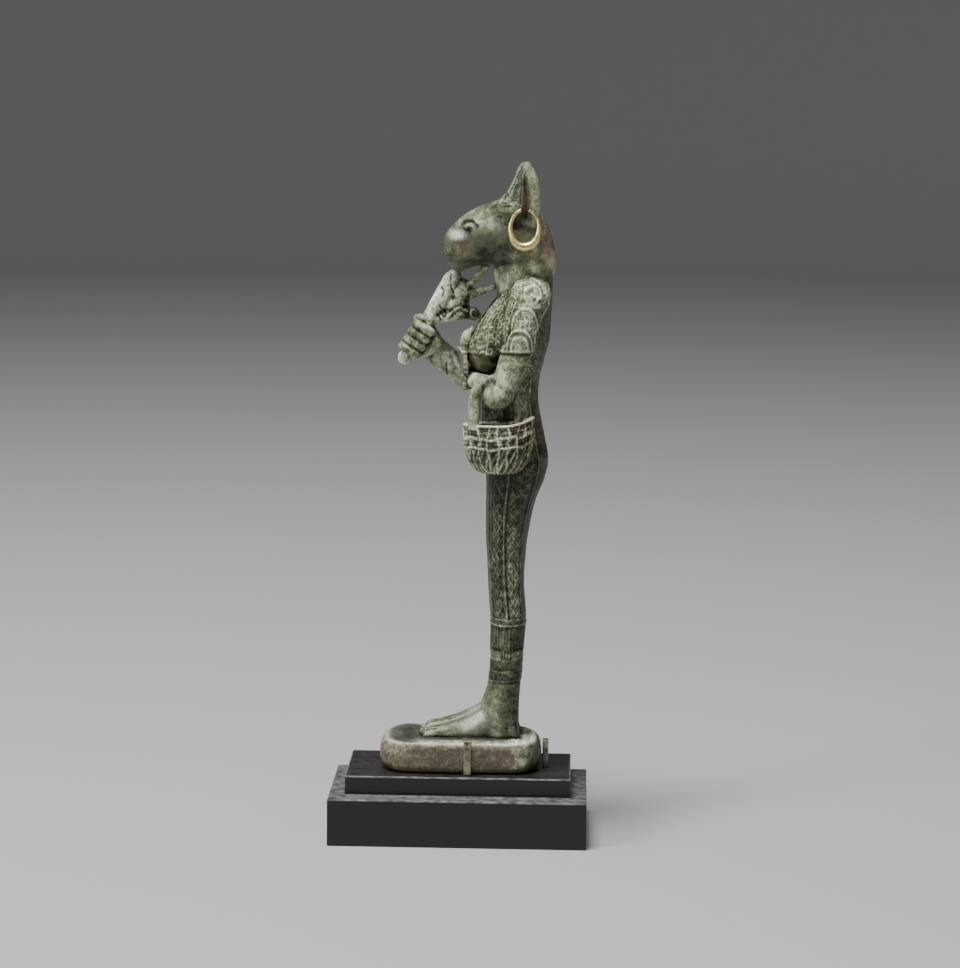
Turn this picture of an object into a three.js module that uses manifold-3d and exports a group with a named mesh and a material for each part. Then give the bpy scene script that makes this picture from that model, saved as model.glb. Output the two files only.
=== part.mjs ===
import * as THREE from 'three';
import { mergeVertices } from 'three/addons/utils/BufferGeometryUtils.js';
import Module from 'manifold-3d';

// A cast bronze of a cat-headed woman with sistrum, aegis and basket, clipped to a black plinth.
// Millimetres. The figure faces -Y, its left-hand side is +X, and +Z is up.
// The origin is the middle of the plinth's underside.

// Display plinth
const PLINTH_LENGTH = 55.7;
const PLINTH_WIDTH = 31.2;
const LOWER_TIER_HEIGHT = 10.3;
const UPPER_TIER_HEIGHT = 4.35;
const TIER_STEP = 3.55;
const PLINTH_EDGE_CHAMFER = 0.25;

// Bronze base, cast in one with the figure
const BASE_LENGTH = 35.1;
const BASE_WIDTH = 19.4;
const BASE_HEIGHT = 6.9;
const BASE_BACK_OF_MIDDLE = 0.25;
const BASE_CORNER_RADIUS = 7.2;
const BASE_TOP_ROUND = 0.9;
const BASE_FOOT_ROUND = 1.5;
// How much further the edges draw in at the two short ends than along the sides.
const BASE_END_TOP_ROUND = 1.5;
const BASE_END_FOOT_ROUND = 0.8;
const BASE_END_ROUND_HEIGHT = 2.6;

// Figure, soles to ear tips. Its stations below are drawn at one size and scaled to this height.
const FIGURE_HEIGHT = 124.2;

// Basket on the left forearm
const BASKET_LENGTH = 15;
const BASKET_WIDTH = 7.6;
const BASKET_DEPTH = 10.6;
const BASKET_WALL = 1;
const BASKET_RIM_RISE = 1.7;
const BASKET_HANDLE_RADIUS = 1.2;
const BASKET_HANDLE_FLATTENING = 0.8;
const BASKET_BAR_HEIGHT = 0.35;

// Aegis in the left hand
const AEGIS_COLLAR_WIDTH = 11;
const AEGIS_COLLAR_DROP = 8.8;
const AEGIS_COLLAR_THICKNESS = 1.15;

// Gold hoops in the ears
const HOOP_HALF_WIDTH = 3;
const HOOP_HALF_HEIGHT = 3.9;
const HOOP_BOTTOM_RADIUS = 0.95;
const HOOP_END_RADIUS = 0.36;
const HOOP_OPEN_ANGLE = 0.28;
const HOOP_CLEARANCE = 0.15;

// Brass strips that hold the base down
const CLIP_WIDTH = 1.65;
const CLIP_THICKNESS = 0.55;
const CLIP_LIP = 1.5;
const CLIP_BACK_FROM_MIDDLE = 2;
const POST_WIDTH = 2.2;
const POST_DEPTH = 1.3;
const POST_HEIGHT = 5.9;
const POST_GAP = 0.3;

// Clearance between pieces that touch
const REST_GAP = 0.1;

const PLINTH_HEIGHT = LOWER_TIER_HEIGHT + UPPER_TIER_HEIGHT;

const BRONZE = new THREE.MeshStandardMaterial({ color: 0x4a5044, roughness: 0.55, metalness: 0.7 });
const GOLD = new THREE.MeshStandardMaterial({ color: 0xcdb878, roughness: 0.35, metalness: 1 });
const BRASS = new THREE.MeshStandardMaterial({ color: 0x8c8253, roughness: 0.45, metalness: 0.9 });
const BLACK_LACQUER = new THREE.MeshStandardMaterial({ color: 0x111212, roughness: 0.35, metalness: 0 });

const wasm = await Module();
wasm.setup();

// Solids

function signedVolume(points, triangles) {
  let volume = 0;
  const [a, b, c] = [new THREE.Vector3(), new THREE.Vector3(), new THREE.Vector3()];
  for (let i = 0; i < triangles.length; i += 3) {
    a.fromArray(points, triangles[i] * 3);
    b.fromArray(points, triangles[i + 1] * 3);
    c.fromArray(points, triangles[i + 2] * 3);
    volume += a.dot(b.cross(c)) / 6;
  }
  return volume;
}

// Turns a closed three.js geometry into a solid with its faces pointing out.
function solidOf(geometry) {
  const bare = geometry.clone();
  bare.deleteAttribute('normal');
  bare.deleteAttribute('uv');
  const merged = mergeVertices(bare);
  const points = new Float32Array(merged.attributes.position.array);
  const triangles = [];
  for (let i = 0; i < merged.index.count; i += 3) {
    const corners = [0, 1, 2].map((k) => merged.index.getX(i + k));
    if (new Set(corners).size === 3) triangles.push(...corners);
  }
  if (signedVolume(points, triangles) < 0) triangles.reverse();
  const mesh = { numProp: 3, vertProperties: points, triVerts: new Uint32Array(triangles) };
  return new wasm.Manifold(new wasm.Mesh(mesh));
}

function joined(solids) {
  return solids.reduce((whole, solid) => whole.add(solid));
}

function geometryOf(solid) {
  const mesh = solid.getMesh();
  const geometry = new THREE.BufferGeometry();
  geometry.setAttribute('position', new THREE.BufferAttribute(new Float32Array(mesh.vertProperties), 3));
  geometry.setIndex(new THREE.BufferAttribute(new Uint32Array(mesh.triVerts), 1));
  geometry.computeVertexNormals();
  return geometry;
}

// Smooth forms through a few stations

function catmullRom(f, a, b, c, d) {
  const slope = c - a;
  const bend = 2 * a - 5 * b + 4 * c - d;
  const twist = 3 * b - a - 3 * c + d;
  return 0.5 * (2 * b + f * (slope + f * (bend + f * twist)));
}

// Reads a list of stations, each a row of numbers, at a share t of its length.
function stationAt(stations, t) {
  const last = stations.length - 1;
  const span = Math.min(Math.floor(t * last), last - 1);
  const [a, b, c, d] = [-1, 0, 1, 2].map((k) => stations[THREE.MathUtils.clamp(span + k, 0, last)]);
  return b.map((value, i) => catmullRom(t * last - span, a[i], value, c[i], d[i]));
}

// Wraps a closed cylinder around pointAt(along, angle, out): out is 1 on the skin, 0 mid-cap.
function skin(pointAt, sides, rows) {
  const geometry = new THREE.CylinderGeometry(1, 1, 1, sides, rows);
  const place = geometry.attributes.position;
  const p = new THREE.Vector3();
  for (let i = 0; i < place.count; i++) {
    p.fromBufferAttribute(place, i);
    const point = pointAt(p.y + 0.5, Math.atan2(p.z, p.x), Math.hypot(p.x, p.z));
    place.setXYZ(i, point[0] * UNIT, point[1] * UNIT, point[2] * UNIT);
  }
  return solidOf(geometry);
}

// Rounds a section: 2 gives an ellipse, more gives squarer sides.
function rounded(value, power) {
  return Math.sign(value) * Math.abs(value) ** (2 / power);
}

// Stations [z, front, back, half width] give level sections of a standing form.
function upright(stations, sides, rowsPerSpan, power = 2) {
  return skin((t, angle, out) => {
    const [z, front, back, halfWidth] = stationAt(stations, t);
    const x = out * halfWidth * rounded(Math.cos(angle), power);
    const y = (front + back) / 2 + (out * (back - front) / 2) * rounded(Math.sin(angle), power);
    return [x, y, z];
  }, sides, (stations.length - 1) * rowsPerSpan);
}

// Stations [y, bottom, top, half width] give sections across a form that lies along Y.
function lengthwise(stations, sides, rowsPerSpan, x0 = 0, power = 2) {
  return skin((t, angle, out) => {
    const [y, bottom, top, halfWidth] = stationAt(stations, t);
    const x = x0 + out * halfWidth * rounded(Math.cos(angle), power);
    const z = (bottom + top) / 2 + (out * (top - bottom) / 2) * rounded(Math.sin(angle), power);
    return [x, y, z];
  }, sides, (stations.length - 1) * rowsPerSpan);
}

// Stations [x, y, z, radius towards side, other radius] give a bent, tapering limb.
function limb(stations, sides, rowsPerSpan, side = [1, 0, 0]) {
  const reach = 0.01;
  return skin((t, angle, out) => {
    const [x, y, z, wide, deep] = stationAt(stations, t);
    const ahead = new THREE.Vector3(...stationAt(stations, Math.min(t + reach, 1)));
    const behind = new THREE.Vector3(...stationAt(stations, Math.max(t - reach, 0)));
    const along = ahead.sub(behind).normalize();
    const across = new THREE.Vector3(...side);
    across.addScaledVector(along, -across.dot(along)).normalize();
    const upward = new THREE.Vector3().crossVectors(along, across);
    const p = new THREE.Vector3(x, y, z);
    p.addScaledVector(across, out * wide * Math.cos(angle));
    p.addScaledVector(upward, out * deep * Math.sin(angle));
    return p.toArray();
  }, sides, (stations.length - 1) * rowsPerSpan);
}

function ball(middle, radii, around = 12, over = 8) {
  const geometry = new THREE.SphereGeometry(1, around, over);
  geometry.rotateX(Math.PI / 2);
  geometry.scale(...radii.map((r) => r * UNIT));
  geometry.translate(...middle.map((v) => v * UNIT));
  return solidOf(geometry);
}

// Gives the same form on the figure's right-hand side.
function mirrored(stations) {
  return stations.map(([x, ...rest]) => [-x, ...rest]);
}

// Body

const BODY = [
  [25.4, 6.5, 14.1, 6.4],
  [27.5, 6.3, 14.1, 6.5],
  [30.0, 6.1, 13.9, 6.6],
  [34.3, 5.8, 13.6, 6.7],
  [38.7, 5.6, 13.8, 7.0],
  [43.1, 5.3, 14.2, 7.5],
  [47.5, 5.2, 14.9, 8.1],
  [51.9, 5.2, 15.9, 8.8],
  [56.0, 5.2, 17.5, 9.5],
  [60.6, 4.8, 18.5, 9.9],
  [65.0, 4.1, 17.8, 9.4],
  [69.3, 3.5, 16.9, 8.5],
  [73.6, 3.4, 16.2, 7.7],
  [77.9, 3.9, 16.3, 7.5],
  [82.3, 4.8, 17.3, 8.2],
  [86.6, 5.2, 18.4, 9.2],
  [90.9, 5.2, 18.7, 10.2],
  [94.5, 6.8, 18.9, 10.6],
  [97.3, 7.0, 19.0, 9.2],
  [99.8, 6.5, 19.0, 7.0],
  [102.6, 6.3, 19.4, 6.3],
  [106.0, 6.6, 19.2, 6.3],
];

const BREAST = [
  [5.3, 11.2, 95.6, 4.4, 3.2],
  [5.4, 8.9, 91.4, 5.2, 4.0],
  [5.0, 6.6, 87.2, 4.8, 4.4],
  [4.7, 5.1, 84.0, 4.3, 4.1],
  [4.7, 5.6, 81.2, 3.2, 3.2],
  [4.7, 6.2, 79.7, 1.2, 1.2],
];

// Hem ring, fringe and the two cuffs round each ankle, as heights above the soles
const HEM_BOTTOM = 25.1;
const HEM_TOP = 26.6;
const FRINGE = [
  [18.8, 6.4, 13.6, 6.3],
  [25.6, 6.4, 14.2, 6.5],
];
const FRINGE_FOLDS = 17;
const FRINGE_FOLD_DEPTH = 0.3;
const BAND_PROUD = 0.22;
const ANKLE_CUFFS = [[15.3, 17.5], [13.1, 14.9]];
const ANKLE = [6.4, 13.3, 3.0];

function band(bottom, top, proud) {
  const [, front, back, halfWidth] = stationOfBody((bottom + top) / 2);
  const row = [front - proud, back + proud, halfWidth + proud];
  return upright([[bottom, ...row], [top, ...row]], 20, 1);
}

// Reads the body's section at a height by walking its stations.
function stationOfBody(height) {
  const last = BODY.length - 1;
  const above = BODY.findIndex(([z]) => z > height);
  const [low, high] = [BODY[above - 1], BODY[above]];
  const share = (height - low[0]) / (high[0] - low[0]);
  return stationAt(BODY, (above - 1 + share) / last);
}

function fringe() {
  return skin((t, angle, out) => {
    const [z, front, back, halfWidth] = stationAt(FRINGE, t);
    const fold = (FRINGE_FOLD_DEPTH / 2) * Math.cos(angle * FRINGE_FOLDS);
    const x = out * (halfWidth + fold) * Math.cos(angle);
    const y = (front + back) / 2 + out * ((back - front) / 2 + fold) * Math.sin(angle);
    return [x, y, z];
  }, FRINGE_FOLDS * 2, 1);
}

const SHOULDERS = { middle: [0, 13.1, 95.0], radii: [11.4, 5.0, 4.9] };

function body() {
  return joined([
    ball(SHOULDERS.middle, SHOULDERS.radii, 10, 6),
    upright(BODY, 20, 1, 2.15),
    limb(BREAST, 10, 1),
    limb(mirrored(BREAST), 10, 1),
    band(HEM_BOTTOM, HEM_TOP, BAND_PROUD),
    fringe(),
  ]);
}

// Legs and feet

const LEG_FROM_MIDDLE = 3.1;
const LEG = [
  [-0.8, 5.4, 12.8, 2.6],
  [3.0, 4.6, 12.8, 2.8],
  [6.2, 4.5, 12.8, 2.8],
  [9.8, 5.6, 13.0, 2.9],
  [14.3, 6.5, 13.3, 3.05],
  [19.5, 6.7, 13.5, 3.1],
];
const FOOT = [
  [-7.9, -0.8, 0.9, 1.6],
  [-7.0, -0.8, 2.0, 2.3],
  [-4.3, -0.8, 2.6, 2.45],
  [0.0, -0.8, 4.0, 2.4],
  [3.2, -0.8, 5.6, 2.3],
  [6.2, -0.8, 7.2, 2.4],
  [10.0, -0.8, 5.5, 2.6],
  [12.2, -0.8, 3.4, 2.3],
  [13.0, -0.8, 1.5, 1.3],
];
const TOES = 5;
const GREAT_TOE = { fromMiddle: -1.65, y: -7.2, radius: 0.62 };
const LITTLE_TOE = { fromMiddle: 1.75, y: -6.3, radius: 0.42 };
const TOE_HALF_LENGTH = 1.3;

function leg(side) {
  const x0 = side * LEG_FROM_MIDDLE;
  const shift = (solid) => solid.translate([x0 * UNIT, 0, 0]);
  const [front, back, halfWidth] = ANKLE;
  const row = [front - BAND_PROUD, back + BAND_PROUD, halfWidth + BAND_PROUD];
  const cuffs = ANKLE_CUFFS.map(([bottom, top]) => shift(upright([[bottom, ...row], [top, ...row]], 10, 1)));
  const toes = Array.from({ length: TOES }, (_, i) => {
    const between = (name) => THREE.MathUtils.lerp(GREAT_TOE[name], LITTLE_TOE[name], i / (TOES - 1));
    const radius = between('radius');
    const x = x0 + side * between('fromMiddle');
    return ball([x, between('y'), radius], [radius, TOE_HALF_LENGTH, radius * 1.25], 6, 3);
  });
  return joined([shift(upright(LEG, 10, 1)), lengthwise(FOOT, 10, 1, x0, 2.2), ...cuffs, ...toes]);
}

// Head

const HEAD_HALF_WIDTH = 7.4;
const HEAD = [
  [-4.4, 105.3, 107.9, 1.2],
  [-4.0, 104.1, 109.0, 2.1],
  [-3.2, 102.5, 110.1, 2.9],
  [-2.2, 101.3, 111.1, 3.4],
  [-0.8, 101.0, 112.5, 4.1],
  [1.2, 101.7, 113.9, 5.2],
  [3.3, 102.3, 114.9, 6.2],
  [5.4, 102.3, 115.7, 6.9],
  [8.0, 101.0, 116.5, 7.3],
  [11.0, 99.8, 116.5, HEAD_HALF_WIDTH],
  [14.0, 99.2, 115.6, 6.9],
  [16.3, 99.2, 113.5, 6.0],
  [18.0, 99.6, 110.4, 4.8],
  [19.1, 100.4, 106.8, 3.2],
  [19.5, 101.6, 104.6, 1.4],
];
const EAR_LEAN = 5.3;
const EAR = [
  [109.5, 9.8, 15.0, 0.9],
  [112.5, 8.2, 15.8, 1.6],
  [115.0, 6.8, 16.0, 2.0],
  [116.4, 7.4, 16.0, 2.0],
  [118.0, 9.0, 15.9, 1.85],
  [120.8, 10.3, 15.4, 1.55],
  [122.9, 11.1, 14.5, 1.1],
  [123.9, 11.8, 13.8, 0.7],
  [124.2, 12.5, 13.3, 0.3],
];
const UNIT = FIGURE_HEIGHT / EAR[EAR.length - 1][0];
const EAR_HOLLOW = { middle: [8.0, 12.9, 117.0], radii: [2.4, 1.7, 5.2] };
const EYE = { middle: [4.35, 1.15, 110.9], radii: [0.8, 1.3, 0.6] };
const LIP = { middle: [1.5, -2.4, 105.2], radii: [1.6, 1.9, 1.8] };
const NOSE = { middle: [0, -3.5, 107.6], radii: [1.3, 1.1, 1.0] };

function ear(side) {
  const [x, y, z] = EAR_HOLLOW.middle;
  const hollow = ball([side * x, y, z], EAR_HOLLOW.radii, 8, 6);
  return upright(EAR, 10, 1).translate([side * EAR_LEAN * UNIT, 0, 0]).subtract(hollow);
}

function head() {
  const pair = [1, -1].flatMap((side) => {
    const [x, y, z] = EYE.middle;
    return [
      ear(side),
      ball([side * x, y, z], EYE.radii, 8, 4),
      ball([side * LIP.middle[0], LIP.middle[1], LIP.middle[2]], LIP.radii, 8, 6),
    ];
  });
  return joined([lengthwise(HEAD, 16, 1), ball(NOSE.middle, NOSE.radii, 8, 5), ...pair]);
}

// Arms

const UPPER_ARM = [
  [2.0, 14.2, 98.4, 2.6, 3.6],
  [5.2, 14.4, 97.5, 3.3, 4.1],
  [8.4, 14.2, 96.1, 3.9, 4.3],
  [10.3, 13.3, 93.8, 4.0, 4.1],
  [10.9, 12.3, 90.5, 3.6, 3.8],
  [11.3, 11.7, 85.6, 3.2, 3.4],
  [11.6, 10.2, 80.6, 3.0, 3.2],
  [11.5, 8.8, 77.4, 2.9, 3.2],
];
const ELBOW = { middle: [11.5, 7.8, 76.1], radii: [3.0, 3.5, 3.4] };
const LEFT_FOREARM = [
  [11.3, 7.4, 76.9, 2.7, 2.9],
  [9.9, 4.9, 77.8, 2.4, 2.2],
  [7.8, 3.4, 78.2, 2.0, 1.8],
  [5.4, 2.6, 78.4, 1.8, 1.7],
  [4.2, 2.3, 78.5, 1.6, 1.6],
];
const RIGHT_FOREARM = [
  [-11.4, 7.4, 76.4, 2.8, 3.1],
  [-11.0, 4.4, 76.0, 2.8, 2.9],
  [-9.6, 0.8, 77.3, 2.8, 2.9],
  [-7.7, -3.6, 81.0, 2.6, 2.9],
  [-6.1, -7.6, 84.7, 2.3, 2.9],
  [-5.4, -9.6, 86.4, 2.0, 2.8],
];

// Sistrum in the right hand: its handle leans forward from the knob to the chin.
const SISTRUM_X = -3.4;
const KNOB = { middle: [SISTRUM_X, -12.8, 82.0], radii: [1.5, 1.5, 1.5] };
const SISTRUM_FACE = { middle: [SISTRUM_X, -0.7, 96.6], radii: [2.7, 2.6, 2.7] };
const SISTRUM_LOBE = { middle: [SISTRUM_X, -1.9, 94.0], radii: [2.4, 3.0, 2.2] };
const HANDLE_AXIS = new THREE.Vector3(0, 0.53, 0.85);
const HANDLE_RADIUS = 1.15;
const SISTRUM_STALK = [
  [SISTRUM_X, -12.8, 82.0, HANDLE_RADIUS, HANDLE_RADIUS],
  [SISTRUM_X, -10.0, 86.6, 1.5, 1.5],
  [SISTRUM_X, -7.0, 91.4, 1.7, 1.7],
  [SISTRUM_X, -4.9, 94.8, 2.7, 2.0],
  [SISTRUM_X, -3.0, 98.0, 2.9, 2.1],
  [SISTRUM_X, -2.3, 99.7, 2.4, 1.8],
  [SISTRUM_X, -2.1, 101.0, 1.1, 0.8],
];
const SISTRUM_CURL = [
  [SISTRUM_X, -6.6, 90.4, 1.3, 1.0],
  [SISTRUM_X, -3.6, 91.2, 2.1, 1.5],
  [SISTRUM_X, -0.8, 91.8, 2.1, 1.5],
  [SISTRUM_X + 0.2, 1.2, 91.8, 1.7, 1.4],
  [SISTRUM_X + 0.5, 2.5, 91.5, 1.3, 1.3],
  [SISTRUM_X + 0.5, 3.5, 91.4, 0.5, 0.5],
];
const JAW_BAR = [
  [SISTRUM_X, -0.9, 96.1, 1.1, 1.0],
  [-1.8, 1.6, 98.6, 0.8, 0.8],
  [-0.6, 4.2, 101.6, 0.75, 0.75],
  [-0.2, 5.6, 103.4, 0.8, 0.8],
];
const THROAT_BAR = [
  [SISTRUM_X, -0.4, 95.5, 1.3, 1.4],
  [-2.0, 2.6, 96.4, 0.9, 1.0],
  [-0.8, 5.4, 97.3, 0.6, 0.6],
  [0.0, 8.0, 98.2, 0.6, 0.6],
];

function sistrum() {
  return joined([
    ball(KNOB.middle, KNOB.radii, 8, 6),
    limb(SISTRUM_STALK, 8, 1),
    ball(SISTRUM_FACE.middle, SISTRUM_FACE.radii, 8, 6),
    ball(SISTRUM_LOBE.middle, SISTRUM_LOBE.radii, 8, 6),
    limb(SISTRUM_CURL, 8, 1),
    limb(JAW_BAR, 6, 1),
    limb(THROAT_BAR, 6, 1),
  ]);
}

// Fist around a rod: four fingers curl from the back of the hand round the front to the palm.
const FINGERS = 4;
const FINGER_TURNS = [-0.7, -0.22, 0.26, 0.74];

function fist({ middle, axis, pitch, radius, curl, palmSide }) {
  const centre = new THREE.Vector3(...middle);
  const outward = new THREE.Vector3(palmSide, 0, 0);
  const forward = new THREE.Vector3().crossVectors(axis, outward).multiplyScalar(palmSide);
  return Array.from({ length: FINGERS }, (_, i) => {
    const along = (i - (FINGERS - 1) / 2) * pitch;
    const stations = FINGER_TURNS.map((turn) => {
      const angle = turn * Math.PI;
      const p = centre.clone().addScaledVector(axis, along);
      p.addScaledVector(forward, curl * Math.cos(angle));
      p.addScaledVector(outward, curl * Math.sin(angle));
      return [...p.toArray(), radius, radius];
    });
    return limb(stations, 6, 1, axis.toArray());
  });
}

const RIGHT_FIST = {
  middle: [SISTRUM_X, -10.5, 86.4],
  axis: HANDLE_AXIS,
  pitch: 1.85,
  radius: 1.0,
  curl: 2.3,
  palmSide: 1,
};
const RIGHT_PALM = [
  [-5.6, -6.6, 83.6, 2.4, 2.6],
  [-5.0, -8.2, 85.4, 2.3, 3.4],
  [-4.9, -9.8, 87.0, 1.9, 3.3],
  [-4.8, -11.2, 88.4, 1.1, 2.2],
];
const RIGHT_THUMB = [
  [-5.2, -7.2, 88.0, 1.1, 1.1],
  [-3.6, -8.0, 89.8, 1.1, 1.1],
  [-2.4, -9.4, 90.6, 1.0, 1.0],
  [-2.4, -10.8, 90.4, 0.8, 0.8],
];
const LEFT_FIST = {
  middle: [3.4, 2.1, 78.5],
  axis: new THREE.Vector3(0, 0.15, 1).normalize(),
  pitch: 1.1,
  radius: 0.65,
  curl: 1.5,
  palmSide: -1,
};
const LEFT_PALM_RADII = [2.0, 1.6, 2.1];

function arms() {
  const [x, y, z] = ELBOW.middle;
  return joined([
    limb(UPPER_ARM, 10, 1),
    limb(mirrored(UPPER_ARM), 10, 1),
    limb(LEFT_FOREARM, 10, 1),
    limb(RIGHT_FOREARM, 10, 1),
    ball([x, y, z], ELBOW.radii, 8, 6),
    ball([-x, y, z], ELBOW.radii, 8, 6),
    limb(RIGHT_PALM, 8, 1),
    limb(RIGHT_THUMB, 6, 1),
    ...fist(RIGHT_FIST),
    ball(LEFT_FIST.middle, LEFT_PALM_RADII, 8, 6),
    ...fist(LEFT_FIST),
  ]);
}

// Aegis: a lioness head over a half-round collar, facing forward
const AEGIS_MIDDLE_X = 3.5;
const AEGIS_COLLAR_TOP = 84.6;
const AEGIS_COLLAR_Y = -0.1;
const AEGIS_LEAN = 0.09;
const AEGIS_TURN = 0.14;
const LIONESS_HEAD = { middle: [AEGIS_MIDDLE_X, 1.7, 86.8], radii: [2.1, 2.1, 2.3] };
const LIONESS_NECK = { middle: [AEGIS_MIDDLE_X, 0.8, 84.5], radii: [1.7, 1.3, 1.7] };
const LIONESS_MUZZLE = { middle: [AEGIS_MIDDLE_X, 0.2, 86.3], radii: [1.1, 0.9, 0.9] };
const LIONESS_EAR = { fromMiddle: 1.3, behind: 0.2, above: 1.9, radii: [0.6, 0.5, 0.8] };

function aegisCollar() {
  const outline = new THREE.Shape();
  outline.absellipse(0, 0, AEGIS_COLLAR_WIDTH / 2, AEGIS_COLLAR_DROP, Math.PI, 2 * Math.PI);
  outline.closePath();
  const options = { depth: AEGIS_COLLAR_THICKNESS, bevelEnabled: false, curveSegments: 12 };
  const geometry = new THREE.ExtrudeGeometry(outline, options);
  geometry.translate(0, 0, -AEGIS_COLLAR_THICKNESS / 2);
  geometry.rotateX(Math.PI / 2 + AEGIS_LEAN);
  geometry.rotateZ(AEGIS_TURN);
  geometry.translate(AEGIS_MIDDLE_X * UNIT, AEGIS_COLLAR_Y * UNIT, AEGIS_COLLAR_TOP * UNIT);
  return solidOf(geometry);
}

function aegis() {
  const { fromMiddle, behind, above, radii } = LIONESS_EAR;
  const [headX, headY, headZ] = LIONESS_HEAD.middle;
  const ears = [-1, 1].map((side) =>
    ball([headX + side * fromMiddle, headY + behind, headZ + above], radii, 6, 4),
  );
  return joined([
    aegisCollar(),
    ball(LIONESS_HEAD.middle, LIONESS_HEAD.radii, 8, 6),
    ball(LIONESS_MUZZLE.middle, LIONESS_MUZZLE.radii, 6, 4),
    ball(LIONESS_NECK.middle, LIONESS_NECK.radii, 6, 4),
    ...ears,
  ]);
}

// Basket, hollow and open at the top, hanging by its handle from the left forearm
const BASKET_MIDDLE = [11.5, 8.05];
const BASKET_RIM = 69.7;
const BASKET_RIBS = 16;
const BASKET_RIBS_FROM = 0.2;
const BASKET_PROFILE = [
  [0.0, 0.3],
  [0.04, 0.56],
  [0.17, 0.79],
  [0.45, 0.94],
  [0.75, 1.0],
  [1.0, 1.0],
];

// One closed bowl: share runs from the underside to the rim, and wall is taken off all round.
function basketBowl(wall, floorLift, overshoot, bars, sides) {
  const [x0, y0] = BASKET_MIDDLE;
  const drop = BASKET_DEPTH / UNIT;
  return skin((t, angle, out) => {
    const [share, spread] = stationAt(BASKET_PROFILE, t);
    const rib = bars * Math.cos(angle * BASKET_RIBS) * (t > BASKET_RIBS_FROM ? 1 : 0);
    const halfX = BASKET_WIDTH / 2 / UNIT * spread - wall + rib;
    const halfY = BASKET_LENGTH / 2 / UNIT * spread - wall + rib;
    const y = y0 + out * halfY * Math.sin(angle);
    const rise = BASKET_RIM_RISE * Math.max(0, (y - y0) / halfY) ** 2;
    const z = BASKET_RIM - drop + floorLift + share * (drop - floorLift + overshoot + rise);
    return [x0 + out * halfX * Math.cos(angle), y, z];
  }, sides, BASKET_PROFILE.length - 1);
}

// Rows [x, y, z, share of the full radius]
const BASKET_HANDLE_PATH = [
  [13.7, 2.8, 68.6, 1.0],
  [13.4, 2.75, 72.0, 1.0],
  [13.1, 2.8, 75.3, 0.95],
  [13.0, 3.6, 77.6, 0.78],
  [12.8, 5.2, 79.1, 0.58],
  [12.2, 6.9, 79.8, 0.5],
  [10.9, 9.3, 79.2, 0.5],
  [9.9, 11.3, 76.6, 0.52],
  [9.7, 11.9, 72.8, 0.55],
  [9.7, 12.0, 69.0, 0.6],
];

function basket() {
  const wall = BASKET_WALL / UNIT;
  const radius = BASKET_HANDLE_RADIUS / UNIT;
  const handle = BASKET_HANDLE_PATH.map(([x, y, z, share]) => {
    return [x, y, z, radius * share * BASKET_HANDLE_FLATTENING, radius * share];
  });
  const bowl = basketBowl(0, 0, 0, BASKET_BAR_HEIGHT / 2, BASKET_RIBS * 2);
  return { bowl, hollow: basketBowl(wall, wall, 1, 0, 20), handle: limb(handle, 6, 1) };
}

// Bronze base: a block with round corners, its edges softened above and below
const BASE_SIDES = 28;
const NEAR_MIDDLE = 1e-6;

// Tells which quarter of the block a point is in, and gives 0 for a point on its middle line.
function sideOfMiddle(value) {
  return Math.abs(value) < NEAR_MIDDLE ? 0 : Math.sign(value);
}

function roundedBlock() {
  const edge = [
    [0, BASE_FOOT_ROUND, BASE_END_FOOT_ROUND],
    [BASE_FOOT_ROUND * 0.3, BASE_FOOT_ROUND * 0.3, BASE_END_FOOT_ROUND * 0.7],
    [BASE_FOOT_ROUND, 0, BASE_END_FOOT_ROUND * 0.3],
    [BASE_END_ROUND_HEIGHT, 0, 0],
    [BASE_HEIGHT - BASE_END_ROUND_HEIGHT, 0, 0],
    [BASE_HEIGHT - BASE_TOP_ROUND, 0, BASE_END_TOP_ROUND * 0.4],
    [BASE_HEIGHT, BASE_TOP_ROUND, BASE_END_TOP_ROUND],
  ];
  const geometry = new THREE.CylinderGeometry(1, 1, 1, BASE_SIDES, edge.length - 1);
  const place = geometry.attributes.position;
  for (let i = 0; i < place.count; i++) {
    const [x, z, y] = [place.getX(i), place.getY(i), place.getZ(i)];
    const [height, inset, endInset] = edge[Math.round((z + 0.5) * (edge.length - 1))];
    const corner = BASE_CORNER_RADIUS;
    const [straightX, straightY] = [BASE_WIDTH / 2 - corner, BASE_LENGTH / 2 - corner];
    const reach = corner - inset;
    const flat = Math.hypot(x, y);
    const turnX = sideOfMiddle(x) * straightX;
    const turnY = sideOfMiddle(y) * straightY;
    const along = flat * (turnY + y * (reach - endInset));
    place.setXYZ(i, flat * (turnX + x * reach), BASE_BACK_OF_MIDDLE + along, height);
  }
  return solidOf(geometry);
}

function bronzeFigure() {
  const { bowl, hollow, handle } = basket();
  const pierced = [1, -1].reduce((ears, side) => ears.subtract(hoop(side, HOOP_CLEARANCE)), head());
  const figure = joined([body(), leg(1), leg(-1), pierced, arms(), sistrum(), aegis()]);
  const carrying = figure.add(bowl).subtract(hollow).add(handle);
  return roundedBlock().add(carrying.translate([0, 0, BASE_HEIGHT]));
}

const group = new THREE.Group();

function add(name, solid, material, z = 0) {
  const mesh = new THREE.Mesh(geometryOf(solid), material);
  mesh.name = name;
  mesh.position.z = z;
  group.add(mesh);
}

const baseUnderside = PLINTH_HEIGHT + REST_GAP;

// Plinth: two square tiers in one block, their top edges broken by a small chamfer

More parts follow.
